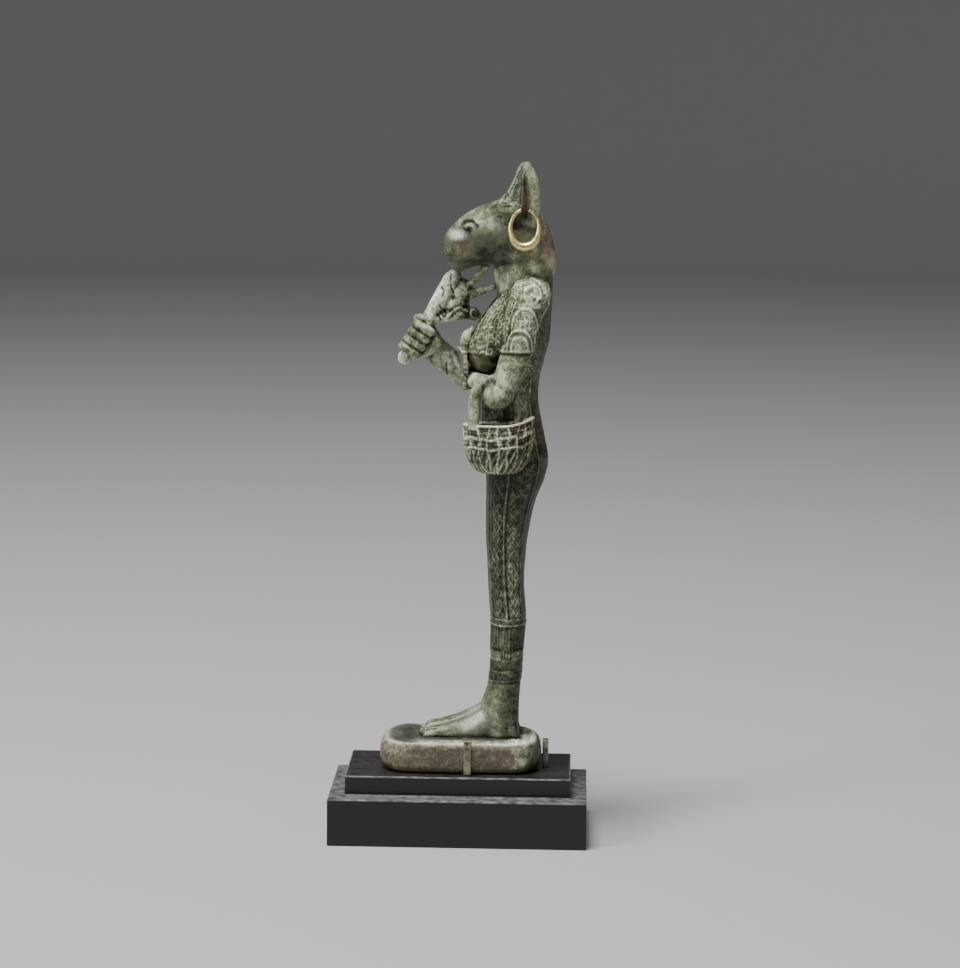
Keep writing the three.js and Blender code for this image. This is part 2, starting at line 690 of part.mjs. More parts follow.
function tier(length, width, height, bottom) {
  const chamfer = PLINTH_EDGE_CHAMFER;
  const outline = new THREE.Shape();
  outline.moveTo(-width / 2, 0);
  outline.lineTo(width / 2, 0);
  outline.lineTo(width / 2, height - chamfer);
  outline.lineTo(width / 2 - chamfer, height);
  outline.lineTo(-width / 2 + chamfer, height);
  outline.lineTo(-width / 2, height - chamfer);
  outline.closePath();
  const geometry = new THREE.ExtrudeGeometry(outline, { depth: length, bevelEnabled: false });
  geometry.rotateX(Math.PI / 2);
  geometry.translate(0, length / 2, bottom);
  return solidOf(geometry);
}

function plinth() {
  const upperLength = PLINTH_LENGTH - 2 * TIER_STEP;
  const upperWidth = PLINTH_WIDTH - 2 * TIER_STEP;
  const upper = tier(upperLength, upperWidth, PLINTH_HEIGHT, 0);
  return tier(PLINTH_LENGTH, PLINTH_WIDTH, LOWER_TIER_HEIGHT, 0).add(upper);
}

// Clip: a strip bent over the base's top edge
function clip(side) {
  const inner = BASE_WIDTH / 2 + REST_GAP;
  const outer = inner + CLIP_THICKNESS;
  const under = BASE_HEIGHT + REST_GAP;
  const over = under + CLIP_THICKNESS;
  const outline = new THREE.Shape();
  outline.moveTo(inner, 0);
  outline.lineTo(outer, 0);
  outline.lineTo(outer, over - CLIP_THICKNESS);
  outline.lineTo(outer - CLIP_THICKNESS, over);
  outline.lineTo(inner - CLIP_LIP, over);
  outline.lineTo(inner - CLIP_LIP, under);
  outline.lineTo(inner, under);
  outline.closePath();
  const geometry = new THREE.ExtrudeGeometry(outline, { depth: CLIP_WIDTH, bevelEnabled: false });
  geometry.rotateX(Math.PI / 2);
  geometry.translate(0, CLIP_BACK_FROM_MIDDLE + CLIP_WIDTH / 2, 0);
  if (side < 0) geometry.rotateZ(Math.PI).translate(0, 2 * CLIP_BACK_FROM_MIDDLE, 0);
  return solidOf(geometry);
}

function post() {
  const geometry = new THREE.BoxGeometry(POST_WIDTH, POST_DEPTH, POST_HEIGHT);
  const baseEnd = BASE_BACK_OF_MIDDLE + BASE_LENGTH / 2;
  geometry.translate(0, baseEnd + POST_GAP + POST_DEPTH / 2, POST_HEIGHT / 2);
  return solidOf(geometry);
}

// Hoop: thick at the bottom, thin at its two open ends, hanging against the ear
const HOOP_MIDDLE = [12.95, 110.8];
const HOOP_SWELLING = 1.5;
const HOOP_TOP_IN_HOLLOW = 0.6;

function hoop(side, grow = 0) {
  const steps = 11;
  const open = HOOP_OPEN_ANGLE - grow / HOOP_HALF_HEIGHT;
  const [y, z] = HOOP_MIDDLE;
  const hollowFloor = EAR_HOLLOW.middle[0] - EAR_HOLLOW.radii[0] * HOOP_TOP_IN_HOLLOW;
  const inner = hollowFloor + (HOOP_END_RADIUS + HOOP_CLEARANCE) / UNIT;
  const outer = HEAD_HALF_WIDTH + (HOOP_BOTTOM_RADIUS + HOOP_CLEARANCE) / UNIT;
  const stations = Array.from({ length: steps + 1 }, (_, i) => {
    const angle = THREE.MathUtils.lerp(open, 2 * Math.PI - open, i / steps);
    const heavy = (1 - Math.cos(angle)) / 2;
    const thick = THREE.MathUtils.lerp(HOOP_END_RADIUS, HOOP_BOTTOM_RADIUS, heavy ** HOOP_SWELLING);
    const radius = (thick + grow) / UNIT;
    const away = HOOP_HALF_WIDTH / UNIT * Math.sin(angle);
    const up = HOOP_HALF_HEIGHT / UNIT * Math.cos(angle);
    return [side * THREE.MathUtils.lerp(inner, outer, heavy), y + away, z + up, radius, radius];
  });
  return limb(stations, 6, 1);
}

add('display_plinth', plinth(), BLACK_LACQUER);
add('bronze_figure', bronzeFigure(), BRONZE, baseUnderside);
add('gold_earring_left', hoop(1).translate([0, 0, BASE_HEIGHT]), GOLD, baseUnderside);
add('gold_earring_right', hoop(-1).translate([0, 0, BASE_HEIGHT]), GOLD, baseUnderside);
add('brass_clip_left', clip(1), BRASS, baseUnderside);
add('brass_clip_right', clip(-1), BRASS, baseUnderside);
add('brass_post_rear', post(), BRASS, baseUnderside);

export default group;
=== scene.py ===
import math

import bpy
import numpy as np
from mathutils import Matrix, Vector
from mathutils.bvhtree import BVHTree


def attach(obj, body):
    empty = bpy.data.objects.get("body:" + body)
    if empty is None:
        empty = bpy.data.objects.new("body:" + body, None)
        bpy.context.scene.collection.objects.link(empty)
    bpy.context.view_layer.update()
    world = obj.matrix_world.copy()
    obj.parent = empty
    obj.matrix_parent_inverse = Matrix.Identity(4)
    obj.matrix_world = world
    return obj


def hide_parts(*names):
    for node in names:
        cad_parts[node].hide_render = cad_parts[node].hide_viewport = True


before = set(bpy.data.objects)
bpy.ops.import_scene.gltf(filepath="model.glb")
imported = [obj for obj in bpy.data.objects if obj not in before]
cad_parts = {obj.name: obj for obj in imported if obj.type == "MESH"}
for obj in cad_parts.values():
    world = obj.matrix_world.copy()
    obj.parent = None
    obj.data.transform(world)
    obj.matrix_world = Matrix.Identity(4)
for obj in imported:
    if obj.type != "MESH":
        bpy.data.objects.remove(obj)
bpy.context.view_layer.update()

bl_info = {
    "name": "Cast cat goddess on a clipped plinth",
    "version": (1, 0, 0),
    "blender": (4, 5, 0),
    "location": "View3D > Sidebar > Cat Goddess",
    "description": "Builds a patinated bronze cat goddess, her gold hoops, brass clips and black plinth",
    "category": "Add Mesh",
}

MM = 0.001

# Sizes in millimetres, as in the part's source. x is to the figure's left, y to its back.
PLINTH_LENGTH, PLINTH_WIDTH = 55.7, 31.2
LOWER_TIER_HEIGHT, UPPER_TIER_HEIGHT = 10.3, 4.35
PLINTH_HEIGHT = LOWER_TIER_HEIGHT + UPPER_TIER_HEIGHT
PLINTH_STEP = 3.55
REST_GAP = 0.1
BASE_LENGTH, BASE_WIDTH, BASE_HEIGHT = 35.1, 19.4, 6.9
BASE_CORNER_RADIUS = 7.2
BASE_BACK_OF_MIDDLE = 0.25
CLIP_THICKNESS, CLIP_LIP, CLIP_BACK_OF_MIDDLE = 0.55, 1.5, 2.0
POST_WIDTH, POST_HEIGHT = 2.2, 5.9
POST_FRONT, POST_BACK = 18.1, 19.4
HOOP_MIDDLE = (12.95, 110.8)
HOOP_HALF_WIDTH, HOOP_HALF_HEIGHT = 3.0, 3.9
HOOP_END_RADIUS, HOOP_OPEN_ANGLE = 0.36, 0.28
HOOP_CLEARANCE = 0.15
EAR_HOLLOW_X, CHEEK_X = 6.56, 7.4
HOOP_SWELLING = 1.5

# Stations of each form, read by upright(), lengthwise() and limb(). Heights are above the soles.
SOLES = PLINTH_HEIGHT + REST_GAP + BASE_HEIGHT

BODY = [
    (25.4, 6.5, 14.1, 6.4), (27.5, 6.3, 14.1, 6.5), (30.0, 6.1, 13.9, 6.6), (34.3, 5.8, 13.6, 6.7),
    (38.7, 5.6, 13.8, 7.0), (43.1, 5.3, 14.2, 7.5), (47.5, 5.2, 14.9, 8.1), (51.9, 5.2, 15.9, 8.8),
    (56.0, 5.2, 17.5, 9.5), (60.6, 4.8, 18.5, 9.9), (65.0, 4.1, 17.8, 9.4), (69.3, 3.5, 16.9, 8.5),
    (73.6, 3.4, 16.2, 7.7), (77.9, 3.9, 16.3, 7.5), (82.3, 4.8, 17.3, 8.2), (86.6, 5.2, 18.4, 9.2),
    (90.9, 5.2, 18.7, 10.2), (94.5, 6.8, 18.9, 10.6), (97.3, 7.0, 19.0, 9.2), (99.8, 6.5, 19.0, 7.0),
    (102.6, 6.3, 19.4, 6.3), (106.0, 6.6, 19.2, 6.3),
]
BREAST = [
    (5.3, 11.2, 95.6, 4.4, 3.2), (5.4, 8.9, 91.4, 5.2, 4.0), (5.0, 6.6, 87.2, 4.8, 4.4),
    (4.7, 5.1, 84.0, 4.3, 4.1), (4.7, 5.6, 81.2, 3.2, 3.2), (4.7, 6.2, 79.7, 1.2, 1.2),
]
SHOULDERS = ((0, 13.1, 95.0), (11.4, 5.0, 4.9))
HEM_TOP = 26.6
FRINGE = [(17.9, 6.4, 13.6, 6.3), (25.6, 6.4, 14.2, 6.5)]
ANKLE_CUFFS = ((15.3, 17.5), (13.1, 14.9))
LEG_FROM_MIDDLE = 3.1
LEG = [
    (-0.8, 5.4, 12.8, 2.6), (3.0, 4.6, 12.8, 2.8), (6.2, 4.5, 12.8, 2.8), (9.8, 5.6, 13.0, 2.9),
    (14.3, 6.5, 13.3, 3.05), (19.5, 6.7, 13.5, 3.1),
]
TOES = 5
GREAT_TOE, LITTLE_TOE = (-1.65, -7.6, 0.62), (1.75, -6.7, 0.42)
TOE_HALF_LENGTH = 1.3
FOOT = [
    (-7.9, -0.8, 0.9, 1.6), (-7.0, -0.8, 2.0, 2.3), (-4.3, -0.8, 2.6, 2.45), (0.0, -0.8, 4.0, 2.4),
    (3.2, -0.8, 5.6, 2.3), (6.2, -0.8, 7.2, 2.4), (10.0, -0.8, 5.5, 2.6), (12.2, -0.8, 3.4, 2.3),
    (13.0, -0.8, 1.5, 1.3),
]
HEAD = [
    (-4.4, 105.3, 107.9, 1.2), (-4.0, 104.1, 109.0, 2.1), (-3.2, 102.5, 110.1, 2.9),
    (-2.2, 101.3, 111.1, 3.4), (-0.8, 101.0, 112.5, 4.1), (1.2, 101.7, 113.9, 5.2),
    (3.3, 102.3, 114.9, 6.2), (5.4, 102.3, 115.7, 6.9), (8.0, 101.0, 116.5, 7.3),
    (11.0, 99.8, 116.5, 7.4), (14.0, 99.2, 115.6, 6.9), (16.3, 99.2, 113.5, 6.0),
    (18.0, 99.6, 110.4, 4.8), (19.1, 100.4, 106.8, 3.2), (19.5, 101.6, 104.6, 1.4),
]
EAR_LEAN = 5.3
EAR = [
    (109.5, 9.8, 15.0, 0.9), (112.5, 8.2, 15.8, 1.6), (115.0, 6.8, 16.0, 2.0), (116.4, 7.4, 16.0, 2.0),
    (118.0, 9.0, 15.9, 1.85), (120.8, 10.3, 15.4, 1.55), (122.9, 11.1, 14.5, 1.1), (123.9, 11.8, 13.8, 0.7),
    (124.2, 12.5, 13.3, 0.3),
]
EYE = ((4.35, 1.15, 110.9), (0.8, 1.3, 0.6))
LIP = ((1.5, -2.4, 105.2), (1.6, 1.9, 1.8))
NOSE = ((0, -3.5, 107.6), (1.3, 1.1, 1.0))
UPPER_ARM = [
    (2.0, 14.2, 98.4, 2.6, 3.6), (5.2, 14.4, 97.5, 3.3, 4.1), (8.4, 14.2, 96.1, 3.9, 4.3),
    (10.3, 13.3, 93.8, 4.0, 4.1), (10.9, 12.3, 90.5, 3.6, 3.8), (11.3, 11.7, 85.6, 3.2, 3.4),
    (11.6, 10.2, 80.6, 3.0, 3.2), (11.5, 8.8, 77.4, 2.9, 3.2),
]
ARMPIT = [
    (9.0, 8.5, 84.6, 0.8, 0.8), (9.3, 8.6, 86.6, 2.1, 2.1), (9.6, 9.8, 90.0, 2.5, 2.5),
    (9.3, 11.1, 93.5, 2.7, 2.7), (8.2, 12.4, 96.4, 2.7, 2.4), (7.0, 13.2, 97.8, 1.3, 1.3),
]
ELBOW = ((11.5, 7.8, 76.1), (3.0, 3.5, 3.4))
LEFT_FOREARM = [
    (11.3, 7.4, 76.9, 2.7, 2.9), (9.9, 4.9, 77.8, 2.4, 2.2), (7.8, 3.4, 78.2, 2.0, 1.8),
    (5.4, 2.6, 78.4, 1.8, 1.7), (4.2, 2.3, 78.5, 1.6, 1.6),
]
RIGHT_FOREARM = [
    (-11.4, 7.4, 76.4, 2.8, 3.1), (-11.0, 4.4, 76.0, 2.8, 2.9), (-9.6, 0.8, 77.3, 2.8, 2.9),
    (-7.7, -3.6, 81.0, 2.6, 2.9), (-6.1, -7.6, 84.7, 2.3, 2.9), (-5.4, -9.6, 86.4, 2.0, 2.8),
]
SISTRUM_X = -3.4
HANDLE_AXIS = (0, 0.53, 0.85)
KNOB = ((SISTRUM_X, -12.8, 82.0), (1.5, 1.5, 1.5))
SISTRUM_FACE = ((SISTRUM_X, -0.7, 96.6), (2.7, 2.6, 2.7))
SISTRUM_LOBE = ((SISTRUM_X, -1.9, 94.0), (2.4, 3.0, 2.2))
SISTRUM_STALK = [
    (SISTRUM_X, -12.8, 82.0, 1.15, 1.15), (SISTRUM_X, -10.0, 86.6, 1.5, 1.5),
    (SISTRUM_X, -7.0, 91.4, 1.7, 1.7), (SISTRUM_X, -4.9, 94.8, 2.7, 2.0), (SISTRUM_X, -3.0, 98.0, 2.9, 2.1),
    (SISTRUM_X, -2.3, 99.7, 2.4, 1.8), (SISTRUM_X, -2.1, 101.0, 1.1, 0.8),
]
SISTRUM_CURL = [
    (-3.4, -6.6, 90.4, 1.3, 1.0), (-3.4, -3.6, 91.2, 2.1, 1.5), (-3.4, -0.8, 91.8, 2.1, 1.5),
    (-3.2, 1.2, 91.8, 1.7, 1.4), (-2.9, 2.5, 91.5, 1.3, 1.3), (-2.9, 3.5, 91.4, 0.5, 0.5),
]
JAW_BAR = [
    (SISTRUM_X, -0.9, 96.1, 1.1, 1.0), (-1.8, 1.6, 98.6, 0.8, 0.8), (-0.6, 4.2, 101.6, 0.75, 0.75),
    (-0.2, 5.6, 103.4, 0.8, 0.8),
]
THROAT_BAR = [
    (SISTRUM_X, -0.4, 95.5, 1.3, 1.4), (-2.0, 2.6, 96.4, 0.9, 1.0), (-0.8, 5.4, 97.3, 0.6, 0.6),
    (0.0, 8.0, 98.2, 0.6, 0.6),
]
RIGHT_HAND = (SISTRUM_X, -10.5, 86.4)
RIGHT_PALM = [
    (-5.6, -6.6, 83.6, 2.4, 2.6), (-5.0, -8.2, 85.4, 2.3, 3.4), (-4.9, -9.8, 87.0, 1.9, 3.3),
    (-4.8, -11.2, 88.4, 1.1, 2.2),
]
RIGHT_THUMB = [
    (-5.2, -7.2, 88.0, 1.1, 1.1), (-3.6, -8.0, 89.8, 1.1, 1.1), (-2.4, -9.4, 90.6, 1.0, 1.0),
    (-2.4, -10.8, 90.4, 0.8, 0.8),
]
LEFT_HAND = (3.4, 2.1, 78.5)
LEFT_HAND_AXIS = (0, 0.15, 0.99)
LEFT_PALM_RADII = (2.0, 1.6, 2.1)
AEGIS_MIDDLE_X = 3.5
AEGIS_COLLAR_WIDTH, AEGIS_COLLAR_DROP, AEGIS_COLLAR_THICKNESS = 11.0, 8.8, 1.15
AEGIS_COLLAR_TOP, AEGIS_COLLAR_Y = 84.6, -0.1
AEGIS_LEAN, AEGIS_TURN = 0.09, 0.14
LIONESS_HEAD = ((AEGIS_MIDDLE_X, 1.7, 86.8), (2.1, 2.1, 2.3))
LIONESS_NECK = ((AEGIS_MIDDLE_X, 0.8, 84.5), (1.7, 1.3, 1.7))
LIONESS_MUZZLE = ((AEGIS_MIDDLE_X, 0.2, 86.3), (1.1, 0.9, 0.9))
LIONESS_EAR = ((1.3, 1.9, 88.7), (0.6, 0.5, 0.8))
BASKET_MIDDLE = (11.5, 8.05)
BASKET_RIM = 69.7
BASKET_LENGTH, BASKET_WIDTH, BASKET_DEPTH = 15.0, 7.6, 10.6
BASKET_RIM_RISE = 1.7
BASKET_WALL = 1.0
BASKET_RIBS = 21
BASKET_PROFILE = [(0.0, 0.3), (0.04, 0.56), (0.17, 0.79), (0.45, 0.94), (0.75, 1.0), (1.0, 1.0)]
BASKET_HANDLE = [
    (13.7, 2.8, 68.6, 0.96, 1.2), (13.4, 2.75, 72.0, 0.96, 1.2), (13.1, 2.8, 75.3, 0.91, 1.14),
    (13.0, 3.6, 77.6, 0.75, 0.94), (12.8, 5.2, 79.1, 0.56, 0.7), (12.2, 6.9, 79.8, 0.48, 0.6),
    (10.9, 9.3, 79.2, 0.48, 0.6), (9.9, 11.3, 76.6, 0.5, 0.62), (9.7, 11.9, 72.8, 0.53, 0.66),
    (9.7, 12.0, 69.0, 0.58, 0.72),
]


def along(stations, t):
    """Reads stations at shares t of their length, bending smoothly from one to the next."""
    rows = np.asarray(stations, float)
    last = len(rows) - 1
    place = np.clip(t, 0, 1) * last
    span = np.minimum(place.astype(int), last - 1)
    f = (place - span)[..., None]
    a, b, c, d = (rows[np.clip(span + k, 0, last)] for k in (-1, 0, 1, 2))
    return 0.5 * (2 * b + f * ((c - a) + f * ((2 * a - 5 * b + 4 * c - d) + f * (3 * b - a - 3 * c + d))))


def rounded(value, power):
    """Squares a sine or cosine off: 2 leaves an ellipse, more gives flatter sides."""
    return np.sign(value) * np.abs(value) ** (2 / power)


def upright(stations, power=2.0, x0=0.0):
    """Level sections (z, front, back, half width) of a standing form."""
    def point_at(t, angle, out):
        z, front, back, half = np.moveaxis(along(stations, t), -1, 0)
        x = x0 + out * half * rounded(np.cos(angle), power)
        y = (front + back) / 2 + out * (back - front) / 2 * rounded(np.sin(angle), power)
        return np.stack([x, y, z], -1)
    return point_at


def lengthwise(stations, power=2.0, x0=0.0):
    """Sections (y, bottom, top, half width) across a form that lies along Y."""
    def point_at(t, angle, out):
        y, bottom, top, half = np.moveaxis(along(stations, t), -1, 0)
        x = x0 + out * half * rounded(np.cos(angle), power)
        z = (bottom + top) / 2 + out * (top - bottom) / 2 * rounded(np.sin(angle), power)
        return np.stack([x, y, z], -1)
    return point_at


def unit(vectors):
    return vectors / np.maximum(np.linalg.norm(vectors, axis=-1, keepdims=True), 1e-9)


def limb(stations, side=(1, 0, 0)):
    """Sections (x, y, z, radius towards side, other radius) of a bent, tapering limb."""
    def point_at(t, angle, out):
        here = along(stations, t)
        path = unit(along(stations, t + 0.01)[..., :3] - along(stations, t - 0.01)[..., :3])
        across = np.broadcast_to(np.asarray(side, float), path.shape)
        across = unit(across - path * np.sum(path * across, -1, keepdims=True))
        upward = np.cross(path, across)
        wide = (out * here[..., 3] * np.cos(angle))[..., None]
        deep = (out * here[..., 4] * np.sin(angle))[..., None]
        return here[..., :3] + across * wide + upward * deep
    return point_at


def mirrored(stations):
    return [(-x, *rest) for x, *rest in stations]


def only(piece):
    """Leaves this piece alone selected and active, as most of Blender's tools act on what is selected."""
    bpy.ops.object.select_all(action="DESELECT")
    piece.select_set(True)
    bpy.context.view_layer.objects.active = piece
    return piece


def places(piece):
    found = np.empty(len(piece.data.vertices) * 3)
    piece.data.vertices.foreach_get("co", found)
    return found.reshape(-1, 3)


def put(piece, points):
    piece.data.vertices.foreach_set("co", np.ascontiguousarray(points, float).ravel())
    piece.data.update()


def closed(piece):
    """Merges a wrapped skin's seam and ends, and turns its faces out."""
    only(piece)
    bpy.ops.object.mode_set(mode="EDIT")
    bpy.ops.mesh.select_all(action="SELECT")
    bpy.ops.mesh.remove_doubles(threshold=1e-6)
    bpy.ops.mesh.normals_make_consistent(inside=False)
    bpy.ops.object.mode_set(mode="OBJECT")
    return piece


def skin(name, point_at, sides, rows, lift=SOLES):
    """Wraps a grid round a form, its first and last rows drawn in as end caps."""
    bpy.ops.object.select_all(action="DESELECT")
    bpy.ops.mesh.primitive_grid_add(x_subdivisions=sides, y_subdivisions=rows + 2, size=2)
    piece = bpy.context.object
    piece.name = name
    flat = places(piece)
    row = (flat[:, 1] + 1) / 2 * (rows + 2)
    out = ((row > 0.5) & (row < rows + 1.5)).astype(float)
    points = point_at(np.clip((row - 1) / rows, 0, 1), (flat[:, 0] + 1) * math.pi, out)
    put(piece, (points + (0, 0, lift)) * MM)
    return closed(piece)


def ball(name, middle, radii, lift=SOLES):
    x, y, z = middle
    bpy.ops.object.select_all(action="DESELECT")
    bpy.ops.mesh.primitive_uv_sphere_add(segments=32, ring_count=16, radius=1)
    piece = bpy.context.object
    piece.name = name
    put(piece, (places(piece) * radii + (x, y, z + lift)) * MM)
    return piece


def modify(piece, kind, **settings):
    """Adds a modifier, sets it and applies it."""
    only(piece)
    added = piece.modifiers.new(kind.title(), kind)
    for name, value in settings.items():
        setattr(added, name, value)
    bpy.ops.object.modifier_apply(modifier=added.name)
    return piece


def cut(piece, tool):
    modify(piece, "BOOLEAN", operation="DIFFERENCE", solver="EXACT", object=tool)
    bpy.data.objects.remove(tool)
    return piece


def fist(name, middle, axis, pitch, radius, curl, palm_side):
    """Four fingers curl round a rod from the back of the hand to the palm."""
    axis = np.asarray(axis, float)
    outward = np.array((palm_side, 0.0, 0.0))
    forward = np.cross(axis, outward) * palm_side
    for i in range(4):
        turns = np.linspace(-0.74, 0.78, 9) * math.pi
        centre = np.asarray(middle) + axis * (i - 1.5) * pitch
        path = centre + curl * (np.cos(turns)[:, None] * forward + np.sin(turns)[:, None] * outward)
        knuckle = radius * (1 + 0.08 * np.cos(np.linspace(0, 6 * math.pi, 9)))
        yield skin(f"{name} {i}", limb(np.c_[path, knuckle, knuckle], side=axis), 20, 24)


def bowl_at(wall):
    """The basket's outside goes up to the rim, and its inside back down to the floor."""
    x0, y0 = BASKET_MIDDLE

    def point_at(t, angle, out):
        inside = t > 0.5
        level = np.where(inside, (1 - t) * 2, t * 2)
        share, spread = np.moveaxis(along(BASKET_PROFILE, level), -1, 0)
        inset = np.where(inside, wall, 0)
        y = y0 + out * (BASKET_LENGTH / 2 * spread - inset) * np.sin(angle)
        rise = BASKET_RIM_RISE * np.maximum(0, (y - y0) / (BASKET_LENGTH / 2)) ** 2
        floor = BASKET_RIM - BASKET_DEPTH + inset
        z = floor + share * (BASKET_RIM - floor + rise)
        return np.stack([x0 + out * (BASKET_WIDTH / 2 * spread - inset) * np.cos(angle), y, z], -1)
    return point_at


def hollow_at(wall):
    outer = bowl_at(wall)

    def point_at(t, angle, out):
        points = outer(1 - t / 2.001, angle, out)
        return points + np.stack([0 * t, 0 * t, 1.0 * t ** 8], -1)
    return point_at


FORMS = ("dress", "sleeve", "forearm", "hand", "head", "ear", "sistrum", "aegis", "basket", "handle",
         "fringe", "leg", "base")


def figure_forms():
    """Every form of the casting, in groups that are carved alike."""
    groups = {name: [] for name in FORMS}
    hollow = skin("basket hollow", hollow_at(BASKET_WALL), 48, 24)
    dress = skin("dress", upright(BODY, 2.15), 96, 160)
    groups["dress"] += [
        cut(dress, hollow),
        ball("shoulders", *SHOULDERS),
        skin("left breast", limb(BREAST), 48, 40),
        skin("right breast", limb(mirrored(BREAST)), 48, 40),
    ]
    groups["fringe"] += [skin("fringe", upright(FRINGE), 96, 12)]
    for side in (1, -1):
        x0 = side * LEG_FROM_MIDDLE
        groups["leg"] += [
            skin("leg", upright(LEG, x0=x0), 48, 40),
            skin("foot", lengthwise(FOOT, 2.2, x0), 48, 48),
        ]
        for x, y, radius in np.linspace(GREAT_TOE, LITTLE_TOE, TOES):
            toe = ball("toe", (x0 + side * x, y, radius), (radius, TOE_HALF_LENGTH, radius * 1.25))
            groups["leg"].append(toe)
        groups["ear"].append(skin("ear", upright(EAR, x0=side * EAR_LEAN), 64, 64))
        for group, name, ((x, y, z), radii) in (("head", "eye", EYE), ("head", "lip", LIP),
                                                ("forearm", "elbow", ELBOW)):
            groups[group].append(ball(name, (side * x, y, z), radii))
        arm = UPPER_ARM if side > 0 else mirrored(UPPER_ARM)
        groups["sleeve"].append(skin("upper arm", limb(arm), 48, 56))
        armpit = ARMPIT if side > 0 else mirrored(ARMPIT)
        groups["dress"].append(skin("armpit", limb(armpit), 32, 40))
    groups["head"] += [skin("head", lengthwise(HEAD), 64, 90), ball("nose", *NOSE)]
    groups["forearm"] += [
        skin("left forearm", limb(LEFT_FOREARM), 48, 40),
        skin("right forearm", limb(RIGHT_FOREARM), 48, 40),
    ]
    groups["hand"] += [
        skin("right palm", limb(RIGHT_PALM), 40, 24),
        skin("right thumb", limb(RIGHT_THUMB), 32, 24),
        ball("left palm", LEFT_HAND, LEFT_PALM_RADII),
        *fist("right finger", RIGHT_HAND, HANDLE_AXIS, 1.85, 1.0, 2.3, 1),
        *fist("left finger", LEFT_HAND, LEFT_HAND_AXIS, 1.1, 0.65, 1.5, -1),
    ]
    groups["sistrum"] += [
        ball("knob", *KNOB),
        skin("sistrum stalk", limb(SISTRUM_STALK), 40, 48),
        ball("sistrum face", *SISTRUM_FACE),
        ball("sistrum lobe", *SISTRUM_LOBE),
        skin("sistrum curl", limb(SISTRUM_CURL), 32, 40),
        skin("jaw bar", limb(JAW_BAR), 24, 24),
        skin("throat bar", limb(THROAT_BAR), 24, 24),
    ]
    (x, y, z), radii = LIONESS_EAR
    groups["aegis"] += [
        ball("lioness head", *LIONESS_HEAD),
        ball("lioness muzzle", *LIONESS_MUZZLE),
        ball("lioness neck", *LIONESS_NECK),
        collar(),
        ball("lioness ear", (AEGIS_MIDDLE_X + x, y, z), radii),
        ball("lioness ear", (AEGIS_MIDDLE_X - x, y, z), radii),
    ]
    groups["basket"].append(skin("basket", bowl_at(BASKET_WALL), 80, 80))
    groups["handle"].append(skin("basket handle", limb(BASKET_HANDLE), 24, 90))
    groups["base"].append(base_block())
    return groups


def collar():
    """The aegis collar: a half-round plate, leaning back and turned a little to the left."""
    bpy.ops.object.select_all(action="DESELECT")
    bpy.ops.mesh.primitive_cylinder_add(vertices=96, radius=1, depth=1)
    piece = bpy.context.object
    piece.name = "aegis collar"
    flat = places(piece)
    across = AEGIS_COLLAR_WIDTH / 2 * flat[:, 0]
    drop = AEGIS_COLLAR_DROP * np.minimum(flat[:, 1], 0)
    through = -AEGIS_COLLAR_THICKNESS * flat[:, 2] - math.tan(AEGIS_LEAN) * drop
    x = AEGIS_MIDDLE_X + across * math.cos(AEGIS_TURN) - through * math.sin(AEGIS_TURN)
    y = AEGIS_COLLAR_Y + across * math.sin(AEGIS_TURN) + through * math.cos(AEGIS_TURN)
    put(piece, (np.stack([x, y, AEGIS_COLLAR_TOP + drop], -1) + (0, 0, SOLES)) * MM)
    return closed(piece)


def base_block():
    """The bronze base: a block with round corners, its edges softened more at the two short ends."""
    # Height, inset all round, and further inset at the ends
    edge = np.array([
        (0, 1.5, 0.8), (0.15, 0.9, 0.68), (0.45, 0.45, 0.56), (0.9, 0.15, 0.42), (1.5, 0, 0.24), (2.6, 0, 0),
        (4.3, 0, 0), (5.2, 0, 0.18), (6.0, 0, 0.6), (6.5, 0.18, 0.95), (6.78, 0.45, 1.2), (6.9, 0.9, 1.5)])

    def point_at(t, angle, out):
        steps = np.linspace(0, 1, len(edge))
        height, inset, end_inset = (np.interp(t, steps, edge[:, k]) for k in range(3))
        corner = BASE_CORNER_RADIUS
        reach = corner - inset
        c, s = np.cos(angle), np.sin(angle)
        x = out * ((BASE_WIDTH / 2 - corner) * np.clip(c * 4, -1, 1) + c * reach)
        y = out * ((BASE_LENGTH / 2 - corner) * np.clip(s * 4, -1, 1) + s * (reach - end_inset))
        y += BASE_BACK_OF_MIDDLE
        return np.stack([x, y, height], -1)
    return skin("bronze base", point_at, 160, 46, lift=PLINTH_HEIGHT + REST_GAP)


def ease(value, low, high):
    """Goes smoothly from 0 at low to 1 at high."""
    share = np.clip((value - low) / (high - low), 0, 1)
    return share * share * (3 - 2 * share)


def line(distance, half_width):
    """1 on a line, fading out at its half width."""
    return np.exp(-((distance / half_width) ** 2))


def spot(y, z, middle, reach, edge=3):
    """1 in the middle of a patch seen from the side, falling to its reach along y and z."""
    return np.exp(-np.hypot((y - middle[0]) / reach[0], (z - middle[1]) / reach[1]) ** edge)


def to_path(y, z, path):
    """Distance, seen from the side, to a line drawn through the points of path."""
    nearest = np.full(len(y), 1e9)
    for (y0, z0), (y1, z1) in zip(path, path[1:]):
        dy, dz = y1 - y0, z1 - z0
        share = np.clip(((y - y0) * dy + (z - z0) * dz) / (dy * dy + dz * dz), 0, 1)
        nearest = np.minimum(nearest, np.hypot(y - y0 - share * dy, z - z0 - share * dz))
    return nearest


def lattice(p, q, width=0.17):
    """1 on the lines where p or q is a whole number."""
    off = np.minimum(np.abs(p - np.round(p)), np.abs(q - np.round(q)))
    return np.clip(1.5 - off / width, 0, 1)


